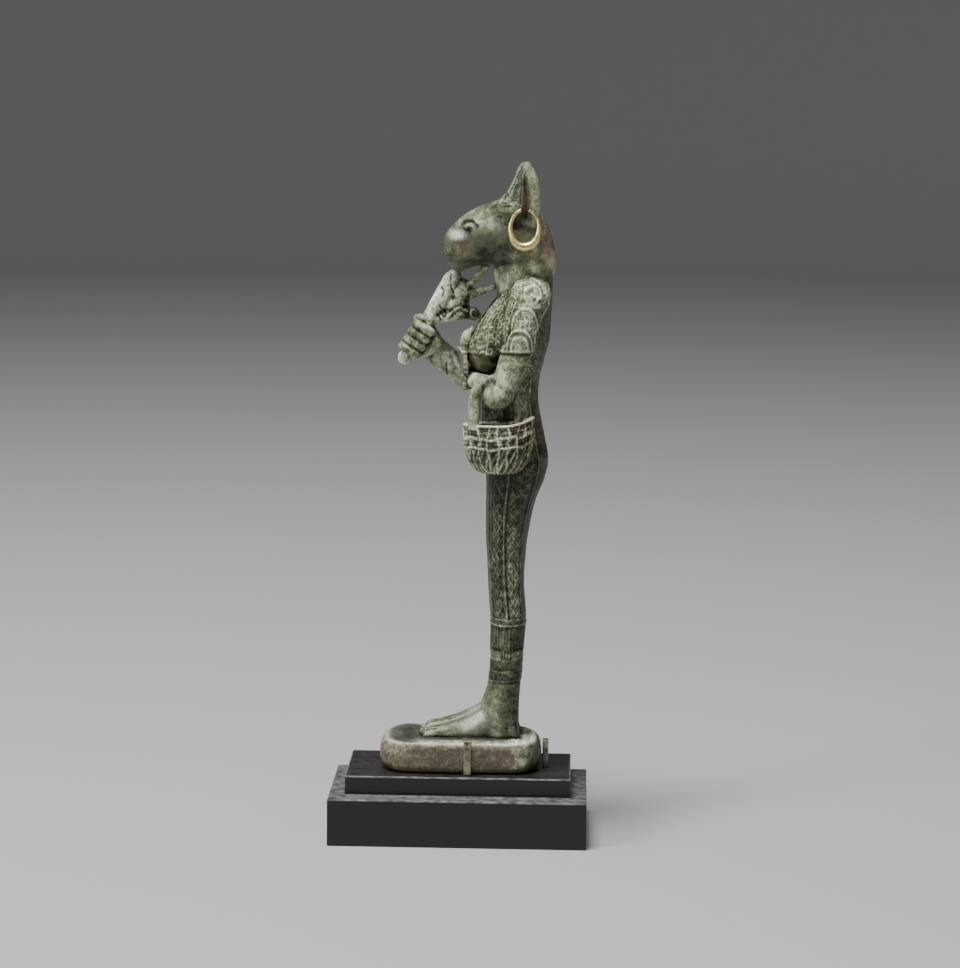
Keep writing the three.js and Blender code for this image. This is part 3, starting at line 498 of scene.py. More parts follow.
# On the sleeve: a ring (middle y, z, radius), and two fans below it (middle y, foot z, half width, height)
RING = (14.8, 97.3, 1.75)
UPPER_FAN = (13.3, 88.9, 2.8, 5.5)
LOWER_FAN = (12.25, 85.3, 2.65, 4.5)
SLEEVE_HEM = 84.8
BARE_BREAST = (78.6, 84.4)


class Carving:
    """What the carver and the ground did at each point of the skin, with the light and shade painted on it."""

    def __init__(self, points, zone):
        self.x, self.y, self.z = (points / MM - (0, 0, SOLES)).T
        self.side = np.abs(self.x)
        self.zone = zone
        count = len(points)
        self.depth = np.zeros(count)
        self.p = np.full(count, 0.5)
        self.q = np.full(count, 0.5)
        self.drawn = np.zeros(count)
        self.pale = np.full(count, 0.35)
        self.brown = np.zeros(count)
        # Rubbed bare metal, and painted highlights on the cheekbone, the instep and the base's top edge
        self.wear_and_highlight = np.zeros(count)
        self.gloss = np.zeros(count)
        self.calm = np.zeros(count)

    def on(self, *names):
        return np.isin(self.zone, [FORMS.index(name) for name in names])

    def groove(self, where, distance, half_width, depth, pale=0.0):
        mark = np.where(where, line(distance, half_width), 0)
        self.depth += depth * mark
        self.pale += pale * mark

    def cut(self, where, path, half_width, depth, pale):
        """A groove along a path that is seen from the side. Below 0 deep, it is a ridge."""
        self.groove(where, to_path(self.y, self.z, path), half_width, depth, pale)

    def sink(self, where, depth):
        self.depth += np.where(where, depth, 0)

    def lighten(self, where, pale):
        self.pale += np.where(where, pale, 0)

    def stain(self, where, brown):
        self.brown = np.where(where, np.maximum(self.brown, brown), self.brown)

    def still(self, where, calm):
        self.calm = np.where(where, calm, self.calm)

    def tone(self, where, pale, brown=0.0):
        self.pale = np.where(where, pale, self.pale)
        self.brown = np.where(where, brown, self.brown)

    def draw(self, where, p, q, strength):
        self.p = np.where(where, p, self.p)
        self.q = np.where(where, q, self.q)
        self.drawn = np.where(where, strength, self.drawn)

    def clear(self, where):
        self.draw(where, 0.5, 0.5, 0.0)

    def trace(self, where, distance, strength, reach=0.9):
        """Draws a single line where the distance is 0."""
        self.draw(where & (np.abs(distance) < reach), np.clip(distance / 1.2, -0.5, 0.5), 0.5, strength)

    def unsteady(self, amount=0.13):
        """The wander of a hand-cut line."""
        slow = np.sin(2.1 * self.z + 1.7 * np.sin(1.3 * self.y) + self.x)
        return amount * (slow + 0.6 * np.sin(5.3 * self.z + 3.1 * self.y - 2.0 * self.x))

    def section(self):
        samples = along(BODY, np.linspace(0, 1, 600))
        front, back, half = (np.interp(self.z, samples[:, 0], samples[:, k]) for k in (1, 2, 3))
        turn = np.arctan2(self.side / half, -(self.y - (front + back) / 2) / ((back - front) / 2))
        return turn, (half + (back - front) / 2) / 2


def carve_skirt(c):
    turn, radius = c.section()
    skirt = c.on("dress") & (c.z > HEM_TOP) & (c.z < BARE_BREAST[0])
    rise = np.clip((c.z - 30) / 25, 0, 1)

    def edge(low, high):
        return np.arccos(1 - 2 * (low + (high - low) * rise))

    first, ridge, second, last = edge(0.13, 0.085), edge(0.49, 0.395), edge(0.54, 0.44), edge(0.885, 0.85)
    flank = ease(turn, 1.5, 1.8) * (1 - 0.25 * ease(turn, 2.2, 2.6)) * ease(c.z, 60, 68)
    levels = -0.2 * ease(c.z, 42, 54) + 0.1 * ease(c.z, 58, 62)
    c.tone(skirt, 0.15 + levels - 0.05 * ease(turn, 2.2, 2.7) + 0.45 * flank, 0.1)
    for low, high, columns, height, paler in ((edge(0.17, 0.13), edge(0.46, 0.365), 2, 2.4, -0.04),
                                              (edge(0.585, 0.48), edge(0.86, 0.82), 2, 2.1, 0.22)):
        share = (turn - low) / (high - low)
        band = skirt & (share > 0) & (share < 1)
        c.lighten(band, paler * ease(-c.z, -48, -42))
        rung = c.z / height + c.unsteady(0.06)
        c.draw(band, columns * share + rung, columns * share - rung, 0.75 - 0.3 * ease(c.z, 40, 60))
    pleat = skirt & (turn > last + 0.06)
    c.draw(pleat, (turn - last) * radius / 0.8, 0.5, -0.3 - 0.4 * ease(c.z, 50, 60) * ease(-c.z, -68, -62))
    c.groove(skirt, (turn - first) * radius, 0.2, 0.2, -0.1)
    c.groove(skirt, (turn - second) * radius, 0.2, 0.15, -0.06)
    c.groove(skirt, (turn - ridge) * radius, 0.2, -0.14, 0.25)
    c.groove(skirt, (turn - last) * radius, 0.2, -0.12, 0.2)


def carve_chest(c):
    turn, _ = c.section()
    chest = c.on("dress") & (c.z > BARE_BREAST[0])
    neckline = np.interp(turn, (0, 0.6, 1.2, 1.7, 2.4, math.pi), (95.3, 96.5, 98.6, 99.9, 98.6, 97.6))
    bare = chest & (c.z < BARE_BREAST[1] - 0.5 * ease(turn, 0.5, 1.0)) & (turn < 1.8)
    patterned = chest & (c.z < neckline) & ~bare
    column = turn * 8.8 / 0.9 + c.unsteady(0.05)
    row = c.z / 1.5 + 0.5 * (np.floor(column) % 2) + c.unsteady(0.1)
    crest = ease(c.side, 4.0, 7.0) * ease(-c.z, -104.5, -100.5)
    c.tone(chest, 0.3 + 0.28 * ease(c.z - neckline, 0.5, 3.0) + 0.2 * crest, 0.1)
    c.still(chest & (c.z > neckline + 0.5), 0.4 - 0.4 * crest)
    c.tone(patterned, 0.38 - 0.16 * ease(turn, 2.0, 2.6))
    c.draw(patterned, column, row, np.where(turn > 2.3, 0.4, 0.8))
    c.tone(bare, 0.16 - 0.1 * ease(-c.z, -82.5, -79.5), 0.55)
    c.groove(chest, c.z - neckline, 0.3, 0.05, 0.08)
    c.groove(chest & (turn < 1.8), c.z - BARE_BREAST[1], 0.3, -0.12, 0.06)


def fan_reach(c, fan):
    """0 at the middle of a fan's foot, 1 on its rim."""
    y0, z0, wide, high = fan
    return (np.abs((c.y - y0) / wide) ** 2.5 + np.abs((c.z - z0) / high) ** 2.5) ** 0.4


def carve_sleeve(c):
    """A net, a ring and two fans cut into the sleeve, and its hem above the elbow."""
    y, z = c.y, c.z
    arm = c.on("sleeve")
    sleeve = arm & (z > SLEEVE_HEM)
    facing = sleeve & (c.side > 9.0)
    samples = along(UPPER_ARM, np.linspace(0, 1, 300))[::-1]
    middle_y = np.interp(z, samples[:, 2], samples[:, 1])
    column = 3.9 * np.arcsin(np.clip((y - middle_y) / 4.0, -1, 1)) / 0.95 + c.unsteady(0.06)
    behind = ease(y - middle_y, 0.5, 3.0)
    c.tone(arm, 0.38 + 0.34 * ease(-z, -83, -79) * (1 - 0.6 * behind) - 0.16 * behind, 0.1)
    c.tone(sleeve, 0.44 + 0.08 * ease(z, 95, 98) - 0.12 * ease(z, 99, 100.5))
    row = (z - 0.4 * c.side) / 1.45 + 0.5 * (np.floor(column) % 2) + c.unsteady(0.1)
    c.draw(sleeve, column, row, 0.8 - 0.4 * behind)
    top_line = ((10.6, 98.6), (12.2, 100.0), (14.0, 100.6), (15.8, 99.9), (17.2, 98.5), (17.8, 96.8))
    c.cut(c.on("sleeve", "dress") & (c.side > 6.5), top_line, 0.22, -0.06, 0.16)

    ring_y, ring_z, radius = RING
    reach = np.hypot(y - ring_y, z - ring_z)
    uneven = reach - radius + 0.15 * np.sin(3 * y + 2 * z)
    c.clear(facing & (reach < radius + 0.3))
    inside = facing & (uneven < 0.2)
    c.tone(inside, 0.62)
    c.groove(inside, np.hypot(y - 14.1, (z - 97.8) / 0.8), 0.8, 0.12, -0.45)
    c.groove(inside, np.hypot(y - 15.4, (z - 96.3) / 0.6), 0.4, 0.08, -0.4)
    c.groove(inside, (y - 14.9) * 0.6 + (z - 97.2) * 0.8, 0.35, -0.08, 0.4)
    c.groove(facing & (y + z > 110.8), uneven, 0.24, -0.1, 0.35)
    below_ring = facing & (np.abs(y - 14.2) < 2.4) & (z > 94.4) & (z < 95.5)
    c.clear(below_ring)
    c.tone(below_ring, 0.78)

    for fan, paler in ((UPPER_FAN, 0.76), (LOWER_FAN, 0.58)):
        reach = fan_reach(c, fan)
        size = (fan[2] + fan[3]) / 2
        rim = (reach - 1.0) * size
        above = facing & (z > fan[1])
        c.tone(above & (reach < 1.0), paler)
        c.clear(above & (reach < 1.0 + 0.35 / size))
        c.groove(above, rim, 0.2, -0.1, 0.3)
        c.groove(above, rim + 0.4, 0.18, 0.06, -0.15)
        c.groove(above, rim - 0.4, 0.22, 0.08, -0.12)
    cells = facing & (z > UPPER_FAN[1] - 0.4)
    cells &= (fan_reach(c, UPPER_FAN) < 0.8) & (fan_reach(c, LOWER_FAN) > 1.08)
    c.draw(cells, (y - 12.3) / 0.95 + c.unsteady(0.06), (z - 91.8) / 1.45 + c.unsteady(0.06), 1.4)
    reach = fan_reach(c, LOWER_FAN)
    band = facing & (z > LOWER_FAN[1]) & (reach > 0.7) & (reach < 0.96)
    c.tone(band, 0.42, 0.15)
    c.groove(facing & (z > LOWER_FAN[1]), (reach - 0.68) * 3.5, 0.2, -0.08, 0.35)
    c.draw(facing & (z > SLEEVE_HEM + 0.9) & (reach < 0.62), (y - 11.9) / 0.9, (z - 86.3) / 1.0, -2.0)

    hem = arm & (c.side > 8)
    c.clear(hem & (np.abs(z - SLEEVE_HEM - 0.2) < 0.8))
    c.groove(hem, z - SLEEVE_HEM, 0.22, 0.2, -0.35)
    c.groove(hem, z - SLEEVE_HEM - 0.5, 0.18, -0.06, 0.15)
    c.sink(arm, 0.14 * ease(-z, -SLEEVE_HEM, -SLEEVE_HEM + 0.4))


def carve_arms(c):
    c.tone(c.on("forearm"), 0.62 - 0.3 * ease(c.y, 7.5, 10.5))
    c.tone(c.on("hand"), 0.3 + 0.25 * ease(c.y, -9.6, -8.2) * (c.x < 0))
    right = c.on("forearm", "hand") & (c.x < 0)
    path = np.array(RIGHT_FOREARM)[::-1]
    middle_x, middle_z = (np.interp(c.y, path[:, 1], path[:, k]) for k in (0, 2))
    inner = ease(c.x - middle_x, -0.8, 1.2)
    under = ease(middle_z - c.z, 0.2, 2.4)
    # Painted shade: the forearm darker on its underside
    c.tone(right & c.on("forearm"), 0.64 + 0.2 * inner - 0.28 * under + 0.12 * ease(-c.z, -79, -76))
    c.still(right, -0.3)
    crossed = right & c.on("forearm") & (c.y > -5) & (c.y < -0.5)
    c.draw(crossed, c.y / 0.9 + c.z / 0.7, c.y / 0.9 - c.z / 0.7, -0.2)
    c.cut(right, ((-3.8, 80.8), (-3.8, 78.1)), 0.2, 0.2, -0.35)
    elbow = c.on("forearm", "sleeve") & (c.side > 10) & (c.z < 82)
    c.lighten(elbow, -0.1 - 0.2 * ease(-c.z, -76.5, -73.5))
    c.cut(elbow, ((7.2, 79.2), (6.6, 77.6), (6.6, 76.2), (7.2, 74.4)), 0.4, 0.12, -0.16)
    c.cut(elbow, ((8.0, 77.2), (9.1, 76.3)), 0.6, -0.06, 0.24)
    c.cut(right, ((-1.0, 79.8), (-2.6, 83.0)), 0.4, -0.15, 0.2)
    c.tone(c.on("handle"), 0.48)
    beads = c.on("handle") & (c.z > 77)
    c.draw(beads, (c.y + 0.6 * c.z) / 0.7, 0.5, -0.4)
    c.tone(c.on("aegis"), 0.55)
    reach = np.hypot(c.x - AEGIS_MIDDLE_X, (c.z - 84.6) * 0.7)
    swing = np.arctan2(c.x - AEGIS_MIDDLE_X, 84.6 - c.z) * 5
    collar_face = c.on("aegis") & (c.z < 84.4)
    c.draw(collar_face, reach / 1.3, swing, 0.9)
    c.sink(collar_face, 0.15 * lattice(reach / 1.3, swing, 0.25))
    lappet = c.on("aegis") & (c.y > 1.9) & (c.z > 84.4)
    c.tone(lappet, 0.32, 0.9)


def carve_sistrum(c):
    """A rattle whose stalk is a head with a crease between two lobes, a curl, and a rolled strand below."""
    work = c.on("sistrum")
    y, z = c.y, c.z
    c.tone(work, 0.8 - 0.36 * ease(y, -3.0, 1) - 0.1 * ease(-z, -93.5, -91.5))
    c.tone(work & (z < 84.0), 0.75, 0.5)
    c.still(work, -0.5)
    stain = spot(y, z, (-0.4, 93.9), (1.0, 1.0), 4) + spot(y, z, (-2.6, 91.6), (0.9, 0.63), 4)
    c.stain(work, 0.65 * stain)
    c.lighten(work, -0.3 * stain)
    c.cut(work, ((-2.9, 100.1), (-2.9, 98.8), (-2.7, 97.3), (-2.3, 96.3)), 0.2, 0.3, -0.25)
    for mark in (((-4.7, 97.3), (-4.3, 96.6), (-4.6, 95.7)), ((-5.2, 93.5), (-4.8, 92.8)),
                 ((-4.3, 92.6), (-3.8, 91.9)), ((-5.1, 92.1), (-4.3, 91.1)),
                 ((-5.6, 91.5), (-5.0, 90.4)), ((-4.2, 91.9), (-3.7, 90.9))):
        c.cut(work, mark, 0.2, 0.2, -0.5)
    strand = to_path(y, z, ((-3.6, 91.0), (-2.0, 92.6), (-0.7, 93.1), (0.6, 92.4)))
    c.groove(work, strand - 0.55, 0.25, 0.16, -0.2)
    c.groove(work, strand, 0.4, -0.08, 0.12)
    c.groove(work & (y > 1), np.hypot(y - 2.5, z - 91.8) - 1.1, 0.22, -0.08, 0.3)
    hair = work & (y > -0.6) & (z > 93.5) & (z < 99)
    c.draw(hair, (y + 0.9 * z) / 0.9 + c.unsteady(0.3), 0.5, -0.25)


def carve_head(c):
    """A cat's face, smooth at the cheek with painted shade on it, brown below the rubbed cheekbone and its
    painted highlight, speckled on the brow.
    """
    head = c.on("head")
    y, z = c.y, c.z
    crown = ease(z, 109.0, 113.0) * ease(-y, -14, -9)
    brow = ease(z, 109.0, 111.5) * ease(-y, -9, -6)
    cheek = spot(y, z, (4.4, 107.8), (3.7, 3.4))
    muzzle = spot(y, z, (-0.7, 106.4), (2.4, 2.2))
    nape = ease(y, 8, 11) * ease(-z, -107.5, -103) + 0.3 * ease(y, 13, 15)
    c.still(head, 0.5 - 0.4 * crown + 0.4 * cheek)
    # The cheek's dark disc is painted shade
    c.tone(head, 0.12 + 0.06 * crown + 0.2 * brow + 0.4 * nape - 0.14 * cheek + 0.2 * muzzle,
           0.15 + 0.5 * ease(y, 11.5, 19) + 0.42 * muzzle)
    patches = 0.45 * spot(y, z, (8.9, 113.5), (1.2, 0.9)) + 0.3 * spot(y, z, (5.8, 111.2), (0.7, 1.0))
    c.lighten(c.on("head", "ear"), patches)
    c.cut(head, ((-0.3, 111.4), (0.6, 112.1), (1.8, 112.0), (2.7, 111.0)), 0.35, 0.2, -0.25)
    c.cut(head, ((0.5, 110.9), (1.4, 111.4), (2.2, 110.7)), 0.35, -0.06, 0.25)
    c.cut(head, ((1.0, 110.8), (1.1, 109.8)), 0.25, 0.12, -0.25)
    c.cut(head, ((2.6, 111.8), (3.7, 111.9)), 0.25, -0.04, 0.3)
    c.cut(head, ((-4.2, 104.3), (-2.8, 103.3), (0.0, 103.1), (1.8, 103.6)), 0.3, 0.08, -0.03)
    streaks = head & (y < 1.0) & (z < 107.6) & (z > 103.5)
    c.draw(streaks, (y + 0.25 * z) / 0.75 + c.unsteady(0.15), 0.5, -0.2)
    dots = head & (y < -2.7) & (z < 106.4) & (z > 104.3)
    c.draw(dots, (y + 0.35 * z) / 0.62, z / 0.58, 2.0)
    c.draw(head & (z > 112.0) & (y > 4.2) & (y < 8) & ~dots, y / 1.6 + z / 1.1, y / 1.6 - z / 1.1, 0.2)
    # A painted highlight on the cheekbone, where the metal is rubbed
    c.wear_and_highlight = np.maximum(c.wear_and_highlight, head * spot(y, z, (-1.5, 109.0), (1.7, 1.0)))


def carve_ears(c):
    """A folded ear: a rimmed front lobe, a brown valley that widens downwards, a smooth rear lobe."""
    ear = c.on("ear")
    y, z = c.y, c.z
    heights = (109.5, 112.5, 115.0, 116.4, 118.0, 120.8, 122.9, 124.2)
    rim = np.interp(z, heights, (9.8, 8.2, 6.8, 7.4, 9.0, 10.3, 11.1, 12.5))
    valley = np.interp(z, (113.5, 115.1, 118.8, 121.8, 123.5), (13.2, 13.2, 13.0, 12.8, 12.6))
    wide = np.interp(z, (111.5, 114.0, 118.8, 122.0, 123.5), (1.5, 1.3, 0.75, 0.5, 0.4))
    outer = ear & (c.side > 5.4)
    c.tone(ear, 0.3 + 0.24 * ease(y, 13.5, 15), 0.1)
    fold = np.where(outer & (z > 111.3), np.clip(1 - np.abs(y - valley) / wide / 1.9, 0, 1), 0)
    fold *= ease(-z, -123.2, -120.5) * ease(z, 111.3, 113.5)
    c.depth += 0.5 * fold
    c.stain(ear, 0.85 * fold)
    c.lighten(ear, -0.12 * fold)
    c.still(ear, 0.2 + 0.5 * fold)
    dish = np.clip(1 - np.abs(y - (rim + valley) / 2) / np.maximum((valley - rim) / 2, 0.3), 0, 1)
    c.sink(outer, 0.3 * dish * ease(z, 115, 117))
    lobe = outer & (y > rim + 0.5) & (y < valley - wide) & (z > 116.5)
    c.draw(lobe, (y - rim) / 0.62, (z + 0.4 * y) / 0.55, -2.0)
    c.trace(outer & (z > 116), y - rim - 0.35, 0.8, 0.35)
    c.trace(outer & (z > 113.5) & (z < 122), y - valley + 0.9 * wide, 0.5, 0.35)
    for path in (((8.2, 115.2), (10.0, 115.3)), ((8.1, 116.0), (9.3, 115.9))):
        c.cut(c.on("ear", "head") & (c.side > 4), path, 0.2, 0.12, -0.25)


def carve_basket(c):
    basket = c.on("basket")
    x0, y0 = BASKET_MIDDLE
    turn = np.arctan2((c.y - y0) / BASKET_LENGTH, (c.x - x0) / BASKET_WIDTH) * BASKET_RIBS / (2 * math.pi)
    rim = BASKET_RIM + BASKET_RIM_RISE * np.maximum(0, (c.y - y0) / (BASKET_LENGTH / 2)) ** 2
    below = rim - c.z
    turn = turn + 0.12 * np.sin(turn * 2.3 + below * 0.9)
    sag = below + 0.22 * np.sin(turn * 1.7) + 0.12 * np.sin(turn * 4.1 + 1)
    from_middle = np.hypot((c.x - x0) / BASKET_WIDTH, (c.y - y0) / BASKET_LENGTH)
    outside = basket & (from_middle > 0.4 * (1 - below / 14))
    upright_bars = line(turn - np.round(turn), 0.1 + 0.03 * np.sin(below * 2.1 + turn * 3))
    bars = np.maximum(upright_bars, np.maximum(line(sag - 2.9, 0.24), line(sag - 5.0, 0.22)))
    bars = np.maximum(bars, below < 0.4)
    slant = turn * 1.5 + below / 2.6
    bars = np.maximum(bars, np.where(below > 5.0, 0.85 * line(slant - np.round(slant), 0.11), 0))
    c.sink(outside, 0.16 - 0.26 * bars)
    c.tone(basket, 0.54 - 0.08 * ease(below, 4.5, 7) - 0.1 * ease(c.y, 9, 13), 0.1 + 0.5 * ease(c.y, 9, 13))
    c.lighten(outside, (0.3 - 0.05 * ease(below, 5, 8)) * bars)
    netted = outside & (below > 0.9) & (below < 5.0)
    c.draw(netted, turn * 2 + 0.5 + c.unsteady(), below / 0.8 + c.unsteady(), 0.7)


def carve_hem(c):
    around = c.on("dress", "fringe")
    hem = around & (c.z > 24.8) & (c.z < 27.0)
    c.tone(hem, 0.14, 0.3)
    c.clear(hem)
    for height in (26.5, 25.2):
        c.groove(around, c.z - height, 0.2, -0.12, 0.0)
        c.trace(around, c.z - height, 0.65, 0.5)
    turn = np.arctan2(c.x / 6.4, -(c.y - 10.1) / 3.8)
    fringe = c.on("fringe") & (c.z < 24.7)
    folds = turn * 34 / (2 * math.pi)
    tassel = np.abs(folds / 2 - np.round(folds / 2)) * 2
    c.tone(fringe, 0.25, 0.1)
    c.sink(fringe, 0.16 * lattice(folds, 0.5 + 0 * folds, 0.25))
    c.draw(fringe, folds, 0.5, 0.55)
    c.trace(fringe & (c.z < 20.0), c.z - 18.7 - 0.6 * (1 - tassel) ** 3, 0.75, 0.5)


def carve_legs(c):
    leg = c.on("leg")
    spots = spot(c.y, c.z, (8.4, 7.6), (1.1, 1.87), 2)
    c.tone(leg, 0.2 - 0.1 * ease(c.y, 9, 12) + 0.3 * spots, 0.1)
    for bottom, top in ANKLE_CUFFS:
        cuff = leg & (c.z > bottom) & (c.z < top)
        c.tone(cuff, -0.06, 0.3)
        c.sink(leg, -0.2 * ease(c.z, bottom - 0.2, bottom + 0.1) * ease(-c.z, -top - 0.2, -top + 0.1))
    for height in (17.9, 15.1, 12.9):
        c.trace(leg, c.z - height, 0.45, 0.45)
    foot = leg & (c.z < 9)
    # A painted highlight along the instep
    instep = to_path(c.y, c.z, ((1.4, 2.4), (3.0, 3.5), (4.6, 4.9)))
    c.wear_and_highlight = np.maximum(c.wear_and_highlight, foot * (0.3 * line(instep, 2.6) + 0.9 * line(instep, 0.9)))
    for heel in ((7.3, 1.4), (11.4, 3.8)):
        c.lighten(foot, 0.35 * spot(c.y, c.z, heel, (0.8, 1.28), 2))
    shiny = 0.5 * ease(-c.z, -8, -5) * ease(c.z, 0.5, 2.0) * ease(-c.y, -9, -6.5)
    c.gloss = np.maximum(c.gloss, foot * shiny)
    c.lighten(foot, -0.16 * ease(c.y, 8, 10))
    c.tone(leg & (c.z < 2.4) & (c.y < -1.0), 0.42)
    for i in range(4):
        x = LEG_FROM_MIDDLE - 1.2 + 0.85 * i
        c.groove(foot & (c.y < -5.0) & (c.z < 2.6), (c.side - x) - 0.12 * (c.y + 7), 0.2, 0.25, -0.25)
    c.groove(foot, c.z - 0.35, 0.3, 0.1, -0.2)


def carve_base(c):
    base = c.on("base")
    top = base & (c.z > -0.3)
    patch = spot(c.y, c.z, (12.6, -4.2), (2.4, 1.4), 4)
    # Painted shadow: the sides darker towards their foot, under the rounded lower edge
    c.tone(base, 0.42 - 0.38 * ease(-c.z, 3.8, 6.2) * (1 - patch) + 0.05 * patch - 0.4 * ease(c.y, 14, 16.5),
           0.8 - 0.7 * ease(c.y, 11, 14))
    streaks = 0.25 * np.sin(2.3 * c.y + 2.0 * np.sin(0.9 * c.y)) * ease(c.y, 4, 7)
    clouds = 0.14 * np.sin(0.9 * c.y + 1.0) * np.sin(0.8 * c.x)
    margin = 0.6 * ease(c.side, 5.8, 7.4) * ease(c.y, -12, -8)
    # Painted light: the top paler behind the heel, where the heel's shadow falls
    c.tone(top, 0.1 - 0.2 * ease(-c.y, 8, 10) + clouds + np.maximum(margin, 0.9 * ease(c.y, 8, 11)) + streaks)
    c.gloss = np.where(base, np.where(top, 0.3 * ease(c.y, 0, 8), 0.5 * ease(-c.y, -15, -12)), c.gloss)
    # A painted highlight along the base's top edge, where the edge is also rubbed
    rubbed = 0.75 + 0.25 * np.sin(0.8 * c.y + 0.5)
    c.wear_and_highlight = np.where(base, rubbed * line(c.z + 0.3, 0.22), c.wear_and_highlight)


CARVERS = (carve_skirt, carve_chest, carve_sleeve, carve_arms, carve_sistrum, carve_head, carve_ears,
           carve_basket, carve_hem, carve_legs, carve_base)


def carving_of(points, zone):
    carving = Carving(points, zone)
    for carver in CARVERS:
        carver(carving)
    drawn = np.clip(np.abs(carving.drawn), 0, 1) * (np.abs(carving.drawn) < 1.5)
    carving.depth += 0.09 * lattice(carving.p, carving.q) * drawn * ~carving.on("aegis", "basket", "fringe")
    return carving


def zones_of(points, tree, zones):
    """Finds for each point the group of forms whose skin is nearest."""
    find = tree.find_nearest
    return zones[[find(point)[2] for point in points.tolist()]]


def normals_of(piece):
    found = np.empty(len(piece.data.vertices) * 3, np.float32)
    piece.data.vertex_normals.foreach_get("vector", found)
    return found.reshape(-1, 3)


def triangles_of(piece):
    return sum(len(face.vertices) - 2 for face in piece.data.polygons)


def hollowness(piece):
    """How far each point lies below its neighbours' middle, in millimetres, evened out a little."""
    mesh = piece.data
    ends = np.empty(len(mesh.edges) * 2, np.int32)
    mesh.edges.foreach_get("vertices", ends)
    a, b = ends.reshape(-1, 2).T
    points = places(piece)
    count = np.bincount(np.r_[a, b], minlength=len(points))[:, None]

    def evened(values):
        total = np.zeros_like(values)
        for k in range(values.shape[1]):
            total[:, k] = np.bincount(a, values[b, k], len(points))
            total[:, k] += np.bincount(b, values[a, k], len(points))
        return total / np.maximum(count, 1)

    smooth = points
    for _ in range(4):
        smooth = evened(smooth)
    depth = np.sum((smooth - points) * normals_of(piece), 1, keepdims=True) / MM
    return evened(depth)[:, 0]


def attribute(piece, name, kind, values):
    made = piece.data.attributes.new(name, kind, "POINT")
    field = "vector" if kind == "FLOAT_VECTOR" else "value"
    made.data.foreach_set(field, np.ascontiguousarray(values, np.float32).ravel())


# Where the wax model ran from one form into the next, on both sides: middle and reach (x, y, z)
RUN_TOGETHER = (
    ((6.5, 12.5, 101.3), (4.8, 7.0, 5.5)),
    ((5.3, 8.2, 113.3), (4.0, 5.2, 4.6)),
    ((9.0, 9.5, 91.0), (3.4, 4.8, 9.0)),
    ((13.0, 9.0, 78.3), (4.5, 5.0, 4.2)),
)


def run_together(figure):
    """Melts the creases between forms at the places above."""
    points = places(figure) / MM - (0, 0, SOLES)
    points[:, 0] = np.abs(points[:, 0])
    share = np.zeros(len(points))
    for middle, reach in RUN_TOGETHER:
        share = np.maximum(share, 1 - np.sum(((points - middle) / reach) ** 2, 1))
    group = figure.vertex_groups.new(name="run together")
    for step in range(1, 5):
        group.add(np.flatnonzero(np.ceil(share * 4) == step).tolist(), step / 4, "REPLACE")
    modify(figure, "SMOOTH", factor=0.5, iterations=100, vertex_group=group.name)
    figure.vertex_groups.clear()


def cast_figure(skin_cell, limit):
    groups = figure_forms()
    forms = []
    for number, name in enumerate(FORMS):
        for form in groups[name]:
            zone = form.data.attributes.new("zone", "INT", "FACE")
            zone.data.foreach_set("value", np.full(len(form.data.polygons), number, np.int32))
            forms.append(form)
    bpy.ops.object.select_all(action="DESELECT")
    for form in forms:
        form.select_set(True)
    bpy.context.view_layer.objects.active = forms[0]
    bpy.ops.object.join()
    figure = bpy.context.object
    figure.name = figure.data.name = "cast_bronze_figure"
    zones = np.empty(len(figure.data.polygons), np.int32)
    figure.data.attributes["zone"].data.foreach_get("value", zones)
    faces = [tuple(face.vertices) for face in figure.data.polygons]
    tree = BVHTree.FromPolygons(places(figure).tolist(), faces)
    figure.data.attributes.remove(figure.data.attributes["zone"])

    modify(figure, "REMESH", mode="VOXEL", voxel_size=skin_cell)
    modify(figure, "SMOOTH", factor=0.5, iterations=3)
    run_together(figure)
    points = places(figure)
    carving = carving_of(points, zones_of(points, tree, zones))
    put(figure, points - normals_of(figure) * carving.depth[:, None] * MM)
    for scale, strength in ((2.4, 0.16), (0.7, 0.07)):
        ground = bpy.data.textures.new("corroded ground", "CLOUDS")
        ground.noise_scale = scale * MM
        modify(figure, "DISPLACE", texture=ground, texture_coords="LOCAL", strength=strength * MM,
               mid_level=0.5)
    modify(figure, "DECIMATE", decimate_type="COLLAPSE", ratio=limit / triangles_of(figure))

    points = places(figure)
    carving = carving_of(points, zones_of(points, tree, zones))
    attribute(figure, "engraving", "FLOAT_VECTOR", np.stack([carving.p, carving.q, carving.drawn], 1))
    attribute(figure, "patina", "FLOAT_VECTOR", np.stack([carving.pale, carving.brown, carving.wear_and_highlight], 1))
    attribute(figure, "hollowness", "FLOAT", hollowness(figure))
    gloss = carving.gloss * (1 - np.clip(1.3 * carving.wear_and_highlight, 0, 1))
    attribute(figure, "finish", "FLOAT_VECTOR", np.stack([gloss, carving.calm, 0 * gloss], 1))
    only(figure)
    bpy.ops.object.shade_smooth()
    return figure


# Materials


def per_metre(size):
    """How often a pattern of this size in millimetres fits into Blender's metre."""
    return 1 / (size * MM)


def linear(colour):
    """An sRGB hex colour as the linear numbers that Blender's shaders take."""
    parts = [int(colour[i:i + 2], 16) / 255 for i in (1, 3, 5)]
    return (*(part / 12.92 if part <= 0.04045 else ((part + 0.055) / 1.055) ** 2.4 for part in parts), 1.0)


